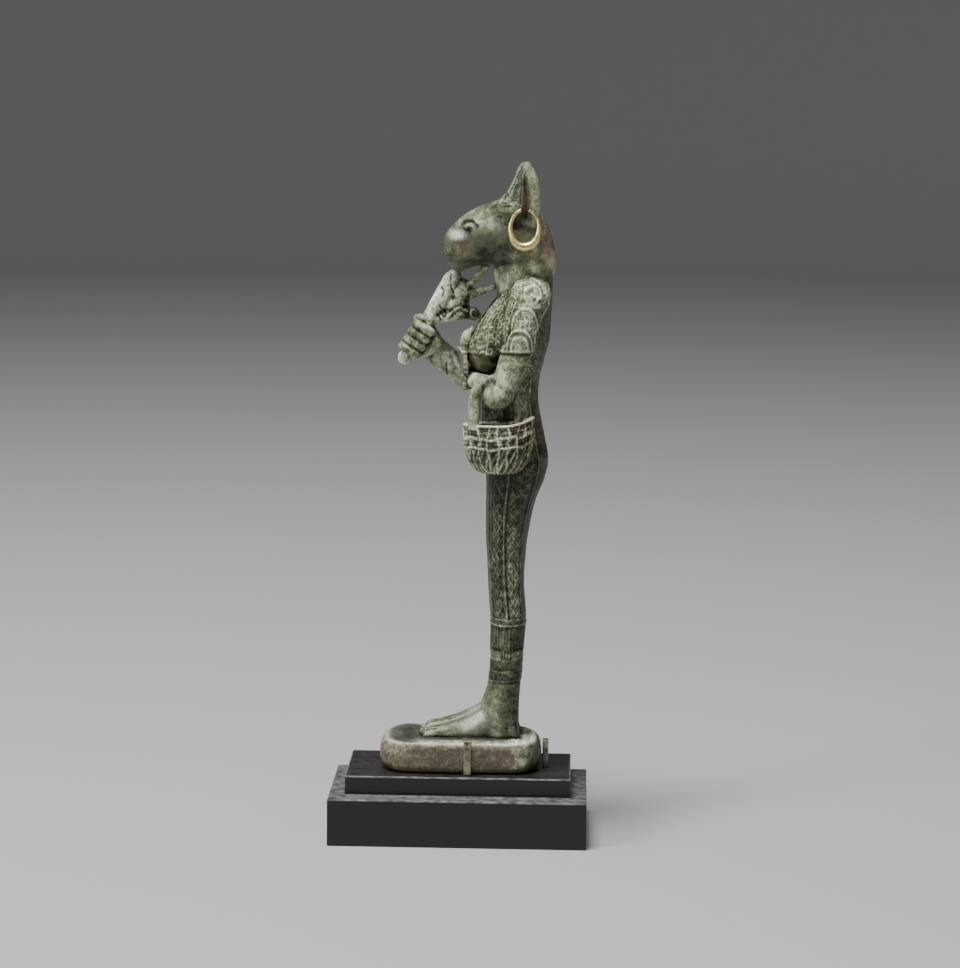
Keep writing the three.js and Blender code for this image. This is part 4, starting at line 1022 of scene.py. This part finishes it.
def node(tree, kind, inputs=(), out=0, stops=(), **settings):
    """Adds a node, sets it, fills its inputs with values or links, and gives one of its outputs."""
    made = tree.nodes.new("ShaderNode" + kind)
    for name, value in settings.items():
        setattr(made, name, value)
    for key, value in inputs.items() if isinstance(inputs, dict) else enumerate(inputs):
        if isinstance(value, bpy.types.NodeSocket):
            tree.links.new(value, made.inputs[key])
        else:
            made.inputs[key].default_value = value
    for number, (place, colour) in enumerate(stops):
        # A new colour ramp has two stops already
        step = made.color_ramp.elements[number] if number < 2 else made.color_ramp.elements.new(place)
        step.position = place
        step.color = linear(colour)
    return made.outputs[out]


def material(name, **surface):
    """Makes a material, and gives it with its node tree and its shader's inputs."""
    made = bpy.data.materials.new(name)
    made.use_nodes = True
    inputs = made.node_tree.nodes["Principled BSDF"].inputs
    for key, value in surface.items():
        inputs[key.replace("_", " ")].default_value = value
    return made, made.node_tree, inputs


def fill(tree, inputs, **links):
    """Links outputs to the shader's inputs of the same names."""
    for key, output in links.items():
        tree.links.new(output, inputs[key.replace("_", " ")])


def summed(tree, start, *terms):
    """Adds to a value each part times its weight."""
    total = start
    for part, weight in terms:
        total = node(tree, "Math", (part, weight, total), operation="MULTIPLY_ADD")
    return total


def bronze():
    # Cast tin bronze under an old corrosion skin: dull, dark olive, with pale copper-salt powder caught in the
    # engraved lines and on the level places, bare metal where hands rub with a painted highlight on it, and
    # painted shade in the creases.
    made, tree, inputs = material("patinated cast bronze", Metallic=0.0, Specular_IOR_Level=0.28)
    place = node(tree, "TexCoord", out="Object")
    hollow = node(tree, "Attribute", attribute_name="hollowness", out="Fac")
    (p, q, drawn), (pale, brown, wear_and_highlight), (gloss, calm, _) = (
        node(tree, "SeparateXYZ", [node(tree, "Attribute", attribute_name=name, out="Vector")]).node.outputs
        for name in ("engraving", "patina", "finish"))

    # Clouds 6 mm wide, patches of 1.6 mm, corrosion grains of 0.45 mm and pits of 0.28 mm
    patterns = ((6.0, 3.0, 0.55), (1.6, 5.0, 0.65), (0.45, 3.0, 0.6), (0.28, 2.0, 0.55))
    cloud, patch, grain, pit = (
        node(tree, "TexNoise", {"Vector": place, "Scale": per_metre(size), "Detail": detail, "Roughness": rough})
        for size, detail, rough in patterns)

    # Engraved lines run where p or q is whole. A strength of 2 or -2 stands for dots where both are.
    lines = []
    for part in (p, q):
        share = node(tree, "Math", [part], operation="FRACT")
        off = node(tree, "Math", [share, 0.5], operation="SUBTRACT")
        off = node(tree, "Math", [off], operation="ABSOLUTE")
        lines.append(node(tree, "MapRange", [off, 0.30, 0.42], interpolation_type="SMOOTHSTEP"))
    either = node(tree, "Math", lines, operation="MAXIMUM")
    both = node(tree, "Math", lines, operation="MINIMUM")
    size = node(tree, "Math", [drawn], operation="ABSOLUTE")
    dotted = node(tree, "Math", [size, 1.5], operation="GREATER_THAN")
    mark = node(tree, "Mix", {0: dotted, 2: either, 3: both}, data_type="FLOAT")
    size = node(tree, "Math", [size, 1.0], operation="MINIMUM")
    mark = node(tree, "Math", [mark, size], operation="MULTIPLY")
    broken = node(tree, "MapRange", [patch, 0.30, 0.48, 0.25, 1.0], interpolation_type="SMOOTHSTEP")
    mark = node(tree, "Math", [mark, broken], operation="MULTIPLY")
    light = node(tree, "Math", [drawn, 0.0], operation="GREATER_THAN")
    dark = node(tree, "Math", [drawn, 0.0], operation="LESS_THAN")
    filled = node(tree, "Math", [mark, light], operation="MULTIPLY")
    bare = node(tree, "Math", [mark, dark], operation="MULTIPLY")
    cell = node(tree, "Math", [1.0, either], operation="SUBTRACT")
    cell = node(tree, "Math", [cell, light], operation="MULTIPLY")
    cell = node(tree, "Math", [cell, size], operation="MULTIPLY")

    # A noise is 0.5 on average, so -1.6 brings the mottle's average to 0
    mottle = summed(tree, -1.6, (patch, 1.4), (cloud, 0.8), (grain, 1.0))
    lively = node(tree, "Math", [1.0, calm], operation="SUBTRACT")
    # Painted shade: creases and hollows darker the deeper they lie; raised places paler
    deep = node(tree, "MapRange", [hollow, 0.008, 0.06], interpolation_type="SMOOTHSTEP")
    proud = node(tree, "MapRange", [hollow, -0.05, -0.008, 1.0, 0.0], interpolation_type="SMOOTHSTEP")
    pitted = node(tree, "MapRange", [pit, 0.60, 0.68], interpolation_type="SMOOTHSTEP")
    level = summed(tree, pale, (mottle, lively), (cell, -0.22), (filled, 0.42), (bare, -0.4),
                   (deep, -0.34), (proud, 0.3), (pitted, -0.3))
    shade = node(tree, "Math", [level, 0.75], operation="MULTIPLY")
    green, earth = (
        node(tree, "ValToRGB", [shade], stops=zip((0.0, 0.38, 0.56, 0.75, 0.98, 1.0), colours))
        for colours in (("#12150d", "#5f664d", "#8c9677", "#b9c2a4", "#d9dec9", "#ffffff"),
                        ("#1b1610", "#685c48", "#958871", "#bdb199", "#d8cfbd", "#ffffff")))
    earthy = summed(tree, brown, (cloud, 1.6))
    earthy = node(tree, "MapRange", [earthy, 1.05, 1.55], interpolation_type="SMOOTHSTEP")
    grainy = node(tree, "MapRange", [grain, 0.25, 0.6, 0.4, 1.0], interpolation_type="SMOOTHSTEP")
    # Rubbed metal and painted highlights turn pale and neutral
    rubbed = node(tree, "Math", [wear_and_highlight, grainy], operation="MULTIPLY")
    patchy = node(tree, "MapRange", [patch, 0.35, 0.6, 1.0, 0.45], interpolation_type="SMOOTHSTEP")
    bright = node(tree, "Math", [gloss, patchy], operation="MULTIPLY")
    metal = node(tree, "Math", [bright, 0.9], operation="MULTIPLY")
    silvery = node(tree, "Math", [bright, 0.5], operation="MULTIPLY")
    colour = green
    for share, over in ((earthy, earth), (rubbed, linear("#d8d5c6")), (silvery, linear("#8d8f84"))):
        colour = node(tree, "Mix", {0: share, 6: colour, 7: over}, out=2, data_type="RGBA")
    dull = summed(tree, level, (wear_and_highlight, -0.5), (bright, -0.5))
    rough = node(tree, "MapRange", [dull, 0.0, 1.0, 0.38, 0.68], interpolation_type="SMOOTHSTEP")
    height = summed(tree, 0.0, (grain, 0.5), (patch, 0.8), (mark, -0.9), (pitted, -0.4))
    bump = node(tree, "Bump", {"Height": height, "Strength": 0.8, "Distance": 0.16 * MM})
    fill(tree, inputs, Base_Color=colour, Metallic=metal, Roughness=rough, Normal=bump)
    return made


def gold():
    # Soft, nearly pure gold, hammered and burnished: pale warm yellow with faint dents 0.9 mm wide.
    made, tree, inputs = material("burnished gold", Metallic=1.0)
    place = node(tree, "TexCoord", out="Object")
    pattern = {"Vector": place, "Scale": per_metre(0.9), "Detail": 2.0, "Roughness": 0.55}
    dents = node(tree, "TexNoise", pattern)
    share = node(tree, "MapRange", [dents, 0.3, 0.7], interpolation_type="SMOOTHSTEP")
    shades = {0: share, 6: linear("#d4bf7c"), 7: linear("#eee1aa")}
    colour = node(tree, "Mix", shades, out=2, data_type="RGBA")
    rough = node(tree, "MapRange", [dents, 0.3, 0.7, 0.3, 0.42], interpolation_type="SMOOTHSTEP")
    bump = node(tree, "Bump", {"Height": dents, "Strength": 0.3, "Distance": 0.06 * MM})
    fill(tree, inputs, Base_Color=colour, Roughness=rough, Normal=bump)
    return made


def clip_brass():
    # Half-hard brass strip, bent and left to dull: grey olive-gold with tarnish in spots 1.6 mm wide.
    made, tree, inputs = material("tarnished brass strip", Metallic=0.6)
    place = node(tree, "TexCoord", out="Object")
    pattern = {"Vector": place, "Scale": per_metre(1.6), "Detail": 4.0, "Roughness": 0.55}
    spots = node(tree, "TexNoise", pattern)
    colour = node(tree, "ValToRGB", [spots], stops=((0.3, "#37352a"), (0.7, "#a9a78c"), (1.0, "#ffffff")))
    rough = node(tree, "MapRange", [spots, 0.3, 0.7, 0.55, 0.35], interpolation_type="SMOOTHSTEP")
    fill(tree, inputs, Base_Color=colour, Roughness=rough)
    return made


def black_lacquer():
    # Black lacquered wood: a satin film, dust on the level faces, most of it on the lower step, specks
    # of 0.5 mm, and edges rubbed pale.
    made, tree, inputs = material("black lacquer on wood", Metallic=0.0)
    place = node(tree, "TexCoord", out="Object")
    level = node(tree, "SeparateXYZ", [node(tree, "NewGeometry", out="Normal")], out=2)
    height = node(tree, "SeparateXYZ", [place], out=2)
    between = (LOWER_TIER_HEIGHT + 1.2) * MM, (LOWER_TIER_HEIGHT + 2.2) * MM
    lower = node(tree, "MapRange", [height, *between, 1.0, 0.2], interpolation_type="SMOOTHSTEP")
    drawn_out = node(tree, "Mapping", {"Vector": place, "Scale": (1.0, 0.6, 1.0)})
    pattern = {"Vector": drawn_out, "Scale": per_metre(1.3), "Detail": 6.0, "Roughness": 0.6}
    cloud = node(tree, "TexNoise", pattern)
    pattern = {"Vector": place, "Scale": per_metre(0.5), "Detail": 2.0, "Roughness": 0.55}
    speck = node(tree, "TexNoise", pattern)
    flat, dusty, specked, rising, upward, scuffed = (
        node(tree, "MapRange", values, interpolation_type="SMOOTHSTEP")
        for values in ([level, 0.9, 0.98], [cloud, 0.3, 0.66, 0.12, 0.44], [speck, 0.68, 0.76, 0.0, 0.6],
                       [level, 0.1, 0.25], [level, 0.93, 0.99], [cloud, 0.3, 0.7, 0.1, 0.6]))
    dust = node(tree, "Math", [lower, dusty], operation="MULTIPLY")
    lying = node(tree, "Math", [dust, specked], operation="MAXIMUM")
    lying = node(tree, "Math", [lying, flat], operation="MULTIPLY")
    bevel = node(tree, "Math", [rising, upward], operation="SUBTRACT")
    edge = node(tree, "Math", [bevel, scuffed], operation="MULTIPLY")
    lying = node(tree, "Math", [lying, edge], operation="MAXIMUM")
    shades = {0: lying, 6: linear("#0a0a0a"), 7: linear("#a6a3a0")}
    colour = node(tree, "Mix", shades, out=2, data_type="RGBA")
    rough = node(tree, "MapRange", [lying, 0.0, 0.5, 0.3, 0.7], interpolation_type="SMOOTHSTEP")
    bump = node(tree, "Bump", {"Height": cloud, "Strength": 0.08, "Distance": 0.08 * MM})
    fill(tree, inputs, Base_Color=colour, Roughness=rough, Normal=bump)
    return made


def finish(piece, node_name, surface):
    """Gives a piece its material and says what it is in the frame."""
    piece.data.materials.clear()
    piece.data.materials.append(surface)
    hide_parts(node_name)
    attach(piece, "root")
    return piece


def faces_where(piece, test):
    """Selects in edit mode the faces whose middle and normal pass the test."""
    bpy.ops.object.mode_set(mode="OBJECT")
    only(piece)
    bpy.ops.object.mode_set(mode="EDIT")
    bpy.ops.mesh.select_all(action="DESELECT")
    bpy.ops.mesh.select_mode(type="FACE")
    bpy.ops.object.mode_set(mode="OBJECT")
    for face in piece.data.polygons:
        face.select = bool(test(face.center / MM, face.normal))
    bpy.ops.object.mode_set(mode="EDIT")


def block(name, low, high):
    bpy.ops.object.select_all(action="DESELECT")
    bpy.ops.mesh.primitive_cube_add(size=1)
    piece = bpy.context.object
    piece.name = piece.data.name = name
    low, high = np.array(low, float), np.array(high, float)
    put(piece, ((low + high) / 2 + places(piece) * (high - low)) * MM)
    return piece


def pull(offset):
    """Extrudes in edit mode what is selected, by an offset in millimetres."""
    bpy.ops.mesh.extrude_region_move(TRANSFORM_OT_translate={"value": [part * MM for part in offset]})


def soft_edges(piece, width, segments=3):
    """Leaves edit mode and rounds the edges by a width in millimetres."""
    bpy.ops.object.mode_set(mode="OBJECT")
    modify(piece, "BEVEL", width=width * MM, segments=segments, limit_method="ANGLE", angle_limit=0.6)
    only(piece)
    bpy.ops.object.shade_smooth_by_angle(angle=0.3)
    return piece


# Camera: the photograph's, worked out from the plinth's corners. The picture is 960 by 968 pixels.
PICTURE_HEIGHT = 968
CAMERA_PLACE = (640.1, 23.3, 171.9)
CAMERA_YAW, CAMERA_PITCH, CAMERA_ROLL = -1.741, 8.450, 0.590
FOCAL_PIXELS = 3000.0
SENSOR = 36.0

# Stage, in metres
FLOOR_RADIUS, FLOOR_STRIP = 1.6, 0.12
LIT_POINT = (0, 0, 0.08)
AIR_LIGHT = 0.1


def aim(place, target):
    return (Vector(target) - Vector(place)).to_track_quat("-Z", "Y").to_euler()


class FigureSizes(bpy.types.PropertyGroup):
    skin_cell: bpy.props.FloatProperty(
        name="Skin cell", description="Cell size of the casting's skin before it is thinned",
        default=0.2 * MM, min=0.15 * MM, unit="LENGTH", precision=5)
    triangles: bpy.props.IntProperty(
        name="Triangles", description="Triangles kept in the casting", default=197000, min=20000)


class MountSizes(bpy.types.PropertyGroup):
    hoop_bottom: bpy.props.FloatProperty(
        name="Hoop bottom", description="Radius of the gold wire at the bottom of a hoop",
        default=0.95 * MM, unit="LENGTH", precision=5)
    clip_width: bpy.props.FloatProperty(
        name="Clip width", description="Width of the brass strip",
        default=1.65 * MM, unit="LENGTH", precision=5)
    plinth_edge: bpy.props.FloatProperty(
        name="Plinth edge", description="Width of the rounding on the plinth's edges",
        default=0.3 * MM, unit="LENGTH", precision=5)


class StageSettings(bpy.types.PropertyGroup):
    key_power: bpy.props.FloatProperty(
        name="Key light", description="Power of the light before the face", default=4.4, unit="POWER")
    fill_power: bpy.props.FloatProperty(
        name="Fill light", description="Power of the light behind the figure", default=1.2, unit="POWER")
    top_power: bpy.props.FloatProperty(
        name="Top light", description="Power of the overhead light", default=12.0, unit="POWER")
    floor_colour: bpy.props.FloatVectorProperty(
        name="Floor", description="Colour of the floor", subtype="COLOR", size=4, default=linear("#b6b6b6"))


class GODDESS_OT_figure(bpy.types.Operator):
    """Cast the figure with its bronze base, sistrum, aegis and basket"""
    bl_idname = "goddess.figure"
    bl_label = "Cast figure"

    def execute(self, context):
        sizes = context.scene.goddess_figure
        figure = cast_figure(sizes.skin_cell, sizes.triangles)
        finish(figure, "bronze_figure", bronze())
        return {"FINISHED"}


class GODDESS_OT_hoops(bpy.types.Operator):
    """Bend the two gold hoops, thick at the bottom and thin at their open ends"""
    bl_idname = "goddess.hoops"
    bl_label = "Gold hoops"

    def execute(self, context):
        bottom = context.scene.goddess_mount.hoop_bottom / MM
        metal = gold()
        angle = np.linspace(HOOP_OPEN_ANGLE, 2 * math.pi - HOOP_OPEN_ANGLE, 49)
        heavy = (1 - np.cos(angle)) / 2
        radius = HOOP_END_RADIUS + (bottom - HOOP_END_RADIUS) * heavy ** HOOP_SWELLING
        top_x = EAR_HOLLOW_X + HOOP_END_RADIUS + HOOP_CLEARANCE
        bottom_x = CHEEK_X + bottom + HOOP_CLEARANCE
        x = top_x + (bottom_x - top_x) * heavy
        y = HOOP_MIDDLE[0] + HOOP_HALF_WIDTH * np.sin(angle)
        z = HOOP_MIDDLE[1] + HOOP_HALF_HEIGHT * np.cos(angle)
        for side, name in ((1, "left"), (-1, "right")):
            hoop = skin(f"gold_hoop_{name}", limb(np.c_[side * x, y, z, radius, radius]), 28, 144)
            only(hoop)
            bpy.ops.object.shade_smooth_by_angle(angle=0.9)
            finish(hoop, f"gold_earring_{name}", metal)
        return {"FINISHED"}


class GODDESS_OT_clips(bpy.types.Operator):
    """Bend the brass strips over the base's long edges and stand the post behind it"""
    bl_idname = "goddess.clips"
    bl_label = "Brass clips and post"

    def execute(self, context):
        metal = clip_brass()
        width = context.scene.goddess_mount.clip_width / MM
        foot = PLINTH_HEIGHT + REST_GAP
        inner = BASE_WIDTH / 2 + REST_GAP
        under = foot + BASE_HEIGHT + REST_GAP
        front, back = CLIP_BACK_OF_MIDDLE - width / 2, CLIP_BACK_OF_MIDDLE + width / 2
        for side, name in ((1, "left"), (-1, "right")):
            x = sorted((side * inner, side * (inner + CLIP_THICKNESS)))
            strip = block(f"bent_clip_{name}", (x[0], front, foot), (x[1], back, under))
            faces_where(strip, lambda middle, normal: normal.z > 0.9)
            pull((0, 0, CLIP_THICKNESS))
            faces_where(strip, lambda middle, normal: normal.x * side < -0.9 and middle.z > under)
            pull((-side * CLIP_LIP, 0, 0))
            soft_edges(strip, 0.2)
            finish(strip, f"brass_clip_{name}", metal)
        half = POST_WIDTH / 2
        post = block("rear_post", (-half, POST_FRONT, foot), (half, POST_BACK, foot + POST_HEIGHT))
        soft_edges(post, 0.22)
        finish(post, "brass_post_rear", metal)
        return {"FINISHED"}


class GODDESS_OT_plinth(bpy.types.Operator):
    """Make the black stepped plinth"""
    bl_idname = "goddess.plinth"
    bl_label = "Stepped plinth"

    def execute(self, context):
        edge = context.scene.goddess_mount.plinth_edge / MM
        x, y = PLINTH_WIDTH / 2, PLINTH_LENGTH / 2
        plinth = block("stepped_plinth", (-x, -y, 0), (x, y, LOWER_TIER_HEIGHT))
        faces_where(plinth, lambda middle, normal: normal.z > 0.9)
        bpy.ops.mesh.inset(thickness=PLINTH_STEP * MM, depth=0)
        pull((0, 0, UPPER_TIER_HEIGHT))
        soft_edges(plinth, edge, 2)
        finish(plinth, "display_plinth", black_lacquer())
        return {"FINISHED"}


class GODDESS_OT_stage(bpy.types.Operator):
    """Lay the floor, set the lights and put the camera where the photograph was taken"""
    bl_idname = "goddess.stage"
    bl_label = "Stage"

    def execute(self, context):
        settings = context.scene.goddess_stage
        bpy.ops.object.select_all(action="DESELECT")
        reach = FLOOR_RADIUS
        bpy.ops.mesh.primitive_circle_add(vertices=128, radius=reach, fill_type="NGON")
        floor = bpy.context.object
        floor.name = "pale_floor"
        bpy.ops.object.mode_set(mode="EDIT")
        bpy.ops.mesh.select_all(action="SELECT")
        # The floor's rim curls up all round in strips that stand ever steeper
        for lean in range(8, 90, 8):
            wider = reach + FLOOR_STRIP * math.cos(math.radians(lean))
            rise = FLOOR_STRIP * math.sin(math.radians(lean))
            bpy.ops.mesh.select_mode(type="EDGE")
            bpy.ops.mesh.region_to_loop()
            pull((0, 0, rise / MM))
            bpy.ops.transform.resize(value=(wider / reach, wider / reach, 1))
            reach = wider
        bpy.ops.object.mode_set(mode="OBJECT")
        bpy.ops.object.shade_smooth()
        surface, _, inputs = material("matt pale paper", Roughness=0.9)
        inputs["Base Color"].default_value = settings.floor_colour
        floor.data.materials.append(surface)

        # Each light has its power, its width and its place in metres
        for name, power, size, place in (
            ("key", settings.key_power, 0.3, (0.5, -0.68, 0.5)),
            ("fill", settings.fill_power, 0.8, (0.75, 0.7, 0.3)),
            ("top", settings.top_power, 0.35, (0.2, -0.12, 0.92)),
        ):
            bpy.ops.object.light_add(type="AREA", location=place, rotation=aim(place, LIT_POINT))
            light = bpy.context.object
            light.name = f"{name}_light"
            light.data.energy = power
            light.data.size = size
        world = context.scene.world or bpy.data.worlds.new("studio air")
        context.scene.world = world
        world.use_nodes = True
        air = world.node_tree.nodes["Background"].inputs
        air["Color"].default_value = linear("#e6e6e6")
        air["Strength"].default_value = AIR_LIGHT

        yaw, pitch, roll = (math.radians(turn) for turn in (CAMERA_YAW, CAMERA_PITCH, CAMERA_ROLL))
        ahead = Vector((-math.cos(yaw) * math.cos(pitch), math.sin(yaw) * math.cos(pitch), -math.sin(pitch)))
        level = Vector((math.sin(yaw), math.cos(yaw), 0))
        upward = level.cross(ahead)
        right = level * math.cos(roll) + upward * math.sin(roll)
        up = upward * math.cos(roll) - level * math.sin(roll)
        bpy.ops.object.camera_add()
        camera = bpy.context.object
        camera.name = "photograph_camera"
        turned = Matrix((right, up, -ahead)).transposed().to_4x4()
        camera.matrix_world = Matrix.Translation(Vector(CAMERA_PLACE) * MM) @ turned
        camera.data.sensor_fit = "VERTICAL"
        camera.data.sensor_height = SENSOR
        camera.data.lens = FOCAL_PIXELS / PICTURE_HEIGHT * SENSOR
        camera.data.clip_start = 0.01
        context.scene.camera = camera
        return {"FINISHED"}


OPERATORS = (GODDESS_OT_stage, GODDESS_OT_plinth, GODDESS_OT_figure, GODDESS_OT_hoops, GODDESS_OT_clips)


class GODDESS_PT_panel(bpy.types.Panel):
    """Lists the sizes and the steps"""
    bl_idname = "GODDESS_PT_panel"
    bl_label = "Cat Goddess"
    bl_space_type = "VIEW_3D"
    bl_region_type = "UI"
    bl_category = "Cat Goddess"

    def draw(self, context):
        for group in (context.scene.goddess_figure, context.scene.goddess_mount, context.scene.goddess_stage):
            for name in group.__annotations__:
                self.layout.prop(group, name)
        for operator in OPERATORS:
            self.layout.operator(operator.bl_idname)


GROUPS = {"goddess_figure": FigureSizes, "goddess_mount": MountSizes, "goddess_stage": StageSettings}


def register():
    for kind in (*GROUPS.values(), *OPERATORS, GODDESS_PT_panel):
        bpy.utils.register_class(kind)
    for name, kind in GROUPS.items():
        setattr(bpy.types.Scene, name, bpy.props.PointerProperty(type=kind))


def unregister():
    for name in GROUPS:
        delattr(bpy.types.Scene, name)
    for kind in (GODDESS_PT_panel, *reversed(OPERATORS), *reversed(GROUPS.values())):
        bpy.utils.unregister_class(kind)


def main():
    register()
    for operator in OPERATORS:
        getattr(bpy.ops.goddess, operator.bl_idname.split(".")[1])()


if __name__ == "__main__":
    main()
